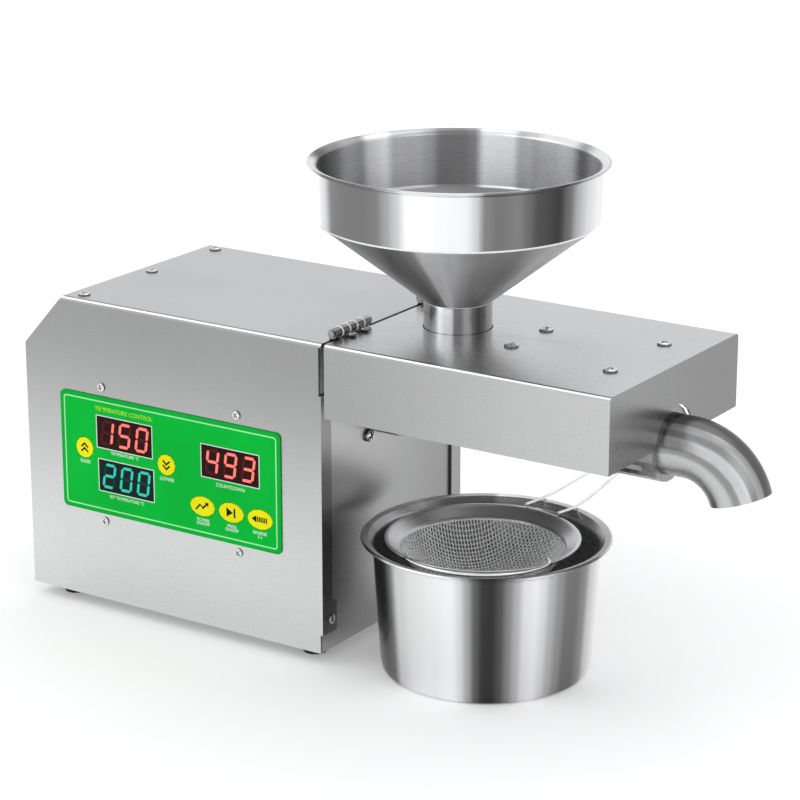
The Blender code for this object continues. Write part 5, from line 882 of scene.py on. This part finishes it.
def screw(name, kind, side, x, y, z, turn, body="root"):
    piece = bpy.data.objects.new(name, heads[kind])
    scene.collection.objects.link(piece)
    piece.matrix_world = (Matrix.Translation(at(x, y, z)) @ facing[side]
                          @ Matrix.Rotation(math.radians(turn), 4, "Z"))
    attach(piece, body)
    return piece


def makeScrews():
    for index, y in enumerate((-61, 0, 61)):
        screw(f"top_screw_{index}", "top", "top", 37, y, 183, 20 + 35 * index)
    places = [(54.4, 134.0), (148.2, 134.0), (54.4, 54.6), (148.2, 54.6)]
    for index, (x, z) in enumerate(places):
        screw(f"panel_screw_{index}", "small", "front", x, -70, z, 15 + 40 * index)
    for side, y in (("front", -70), ("back", 70)):
        screw(f"wrap_screw_{side}", "small", "right", 204, -61.7 if y < 0 else 61.7, 25, 30)
    for index, (x, y) in enumerate(((290, -18), (290, 18), (355.5, -29), (355.5, 29))):
        screw(f"cover_screw_{index}", "cover", "top", x, y, 183, 10 + 25 * index, "cover")
    for index, y in enumerate((-49.12, -36.88, 36.88, 49.12)):
        screw(f"hinge_screw_{index}", "small", "top", 209.8, y, 184.1, 25 * index, "cover")
    for y, front in ((-23.1, "front"), (23.1, "back")):
        for z, level in ((119.7, "low"), (160.3, "high")):
            piece = screw(f"wall_bolt_head_{front}_{level}", "bolt", "right", 202.5, y, z, 20)
            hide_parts(f"wall_bolt_{front}_{level}")


makeScrews()
print("stage: screws made")

# Rings where the hinges' knuckles meet, with a painted highlight
hinge = {"x": 204.6, "z": 186.2, "starts": (-60.0, 26.0), "length": 34.0, "knuckles": 5,
         "radius": 3.1, "width": 1.0}


def makeHingeRings():
    g = hinge
    for side, start in zip(("front", "back"), g["starts"]):
        bm = bmesh.new()
        for index in range(1, g["knuckles"]):
            y = start + g["length"] * index / g["knuckles"]
            rings = []
            for offset, radius in ((-0.5, g["radius"] - 0.5), (-0.28, g["radius"]), (0.28, g["radius"]),
                                   (0.5, g["radius"] - 0.5)):
                rings.append([bm.verts.new(at(g["x"] + radius * math.cos(math.tau * step / 32),
                                              y + offset * g["width"],
                                              g["z"] + radius * math.sin(math.tau * step / 32)))
                              for step in range(32)])
            for first, second in zip(rings, rings[1:]):
                bridge(bm, first, second)
            bridge(bm, rings[-1], rings[0])
        newPiece(f"hinge_rings_{side}", bm, "bright", "root")


makeHingeRings()


dressed = {
    "housing": ["housing_shell", "end_cover"], "cover": ["press_cover"], "wall": ["chassis"],
    "plain": ["motor_can", "barrel_seat", "press_barrel", "end_nut", "heat_shield"],
    "hinge": ["hinge_box_leaf_front", "hinge_box_leaf_back", "hinge_cover_leaf_front",
              "hinge_cover_leaf_back"],
    "gear": ["motor_rotor", "motor_pinion", "layshaft", "layshaft_gear", "output_gear",
             "output_shaft", "output_bearing", "press_screw"],
    "aluminium": ["motor_end_bell", "gearbox_case", "gearbox_cover"],
    "brass": ["layshaft_bush_motor_side", "layshaft_bush_wall_side", "output_bush",
              "temperature_probe"],
    "rubber": ["foot_front_left", "foot_front_right", "foot_back_left", "foot_back_right"],
    "black": ["fan_frame", "fan_rotor", "power_inlet", "power_switch", "switch_rocker"],
    "green": ["control_overlay"], "yellow": list(keys),
    "redGlass": ["temperature_display", "countdown_display"], "greenGlass": ["setting_display"],
    "board": ["display_board", "power_board"], "mica": ["heating_ring"],
}
for finish, names in dressed.items():
    for name in names:
        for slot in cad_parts[name].material_slots:
            slot.material = finishes[finish]
print("stage: CAD pieces dressed")


floorGlow = 0.20


def makeStage():
    bm = bmesh.new()
    corners = [bm.verts.new((x, y, 0)) for x, y in ((-12, -12), (12, -12), (12, 12), (-12, 12))]
    bm.faces.new(corners)
    mesh = bpy.data.meshes.new("studio_floor")
    bm.to_mesh(mesh)
    bm.free()
    floor = bpy.data.objects.new("studio_floor", mesh)
    scene.collection.objects.link(floor)
    material, tree, shader = newMaterial("floor_white", Roughness=0.9)
    shader.inputs["Base Color"].default_value = (0.92, 0.92, 0.92, 1)
    path = addNode(tree, "ShaderNodeLightPath")
    seen = maths(tree, "MAXIMUM", path.outputs["Is Camera Ray"],
                 maths(tree, "MAXIMUM", path.outputs["Is Glossy Ray"],
                       path.outputs["Is Transmission Ray"]))
    added = addNode(tree, "ShaderNodeAddShader")
    faded = addNode(tree, "ShaderNodeEmission", {}, {"Color": (1, 1, 1, 1)})
    tree.links.new(maths(tree, "MULTIPLY", seen, floorGlow), faded.inputs["Strength"])
    tree.links.new(shader.outputs[0], added.inputs[0])
    tree.links.new(faded.outputs[0], added.inputs[1])
    tree.links.new(added.outputs[0], tree.nodes["Material Output"].inputs["Surface"])
    mesh.materials.append(material)


def lamp(name, spot, aim, size, power):
    light = bpy.data.lights.new(name, "AREA")
    light.shape = "RECTANGLE"
    light.size, light.size_y = size
    light.energy = power
    made = bpy.data.objects.new(name, light)
    scene.collection.objects.link(made)
    made.location = spot
    made.rotation_euler = (Vector(aim) - Vector(spot)).to_track_quat("-Z", "Y").to_euler()


makeStage()
lamp("key_softbox", (-1.5, -1.7, 1.9), (0, 0, 0.1), (1.8, 1.8), 9)
lamp("fill_softbox", (1.9, -0.7, 1.5), (0, 0, 0.1), (1.2, 1.6), 4)
lamp("top_softbox", (0.1, 0.9, 2.2), (0, 0, 0.1), (2.0, 1.4), 7)

world = bpy.data.worlds.new("studio_world")
scene.world = world
world.use_nodes = True
background = world.node_tree.nodes["Background"]
background.inputs["Color"].default_value = (0.98, 0.985, 1.0, 1)
background.inputs["Strength"].default_value = 0.82

azimuth, elevation = math.radians(33.266), math.radians(17.380)
back = Vector((math.sin(azimuth) * math.cos(elevation), -math.cos(azimuth) * math.cos(elevation),
               math.sin(elevation)))
right = Vector((math.cos(azimuth), math.sin(azimuth), 0))
up = back.cross(right)
cameraData = bpy.data.cameras.new("photo_camera")
cameraData.sensor_width = 36
cameraData.lens = 127.0
cameraData.clip_start, cameraData.clip_end = 0.05, 60
camera = bpy.data.objects.new("photo_camera", cameraData)
scene.collection.objects.link(camera)
camera.matrix_world = Matrix.Translation(at(1021.14, -1239.14, 598.52)) @ Matrix(
    (right, up, back)).transposed().to_4x4()
scene.camera = camera
scene.view_settings.view_transform = "Standard"
print("stage: floor, light and camera set")
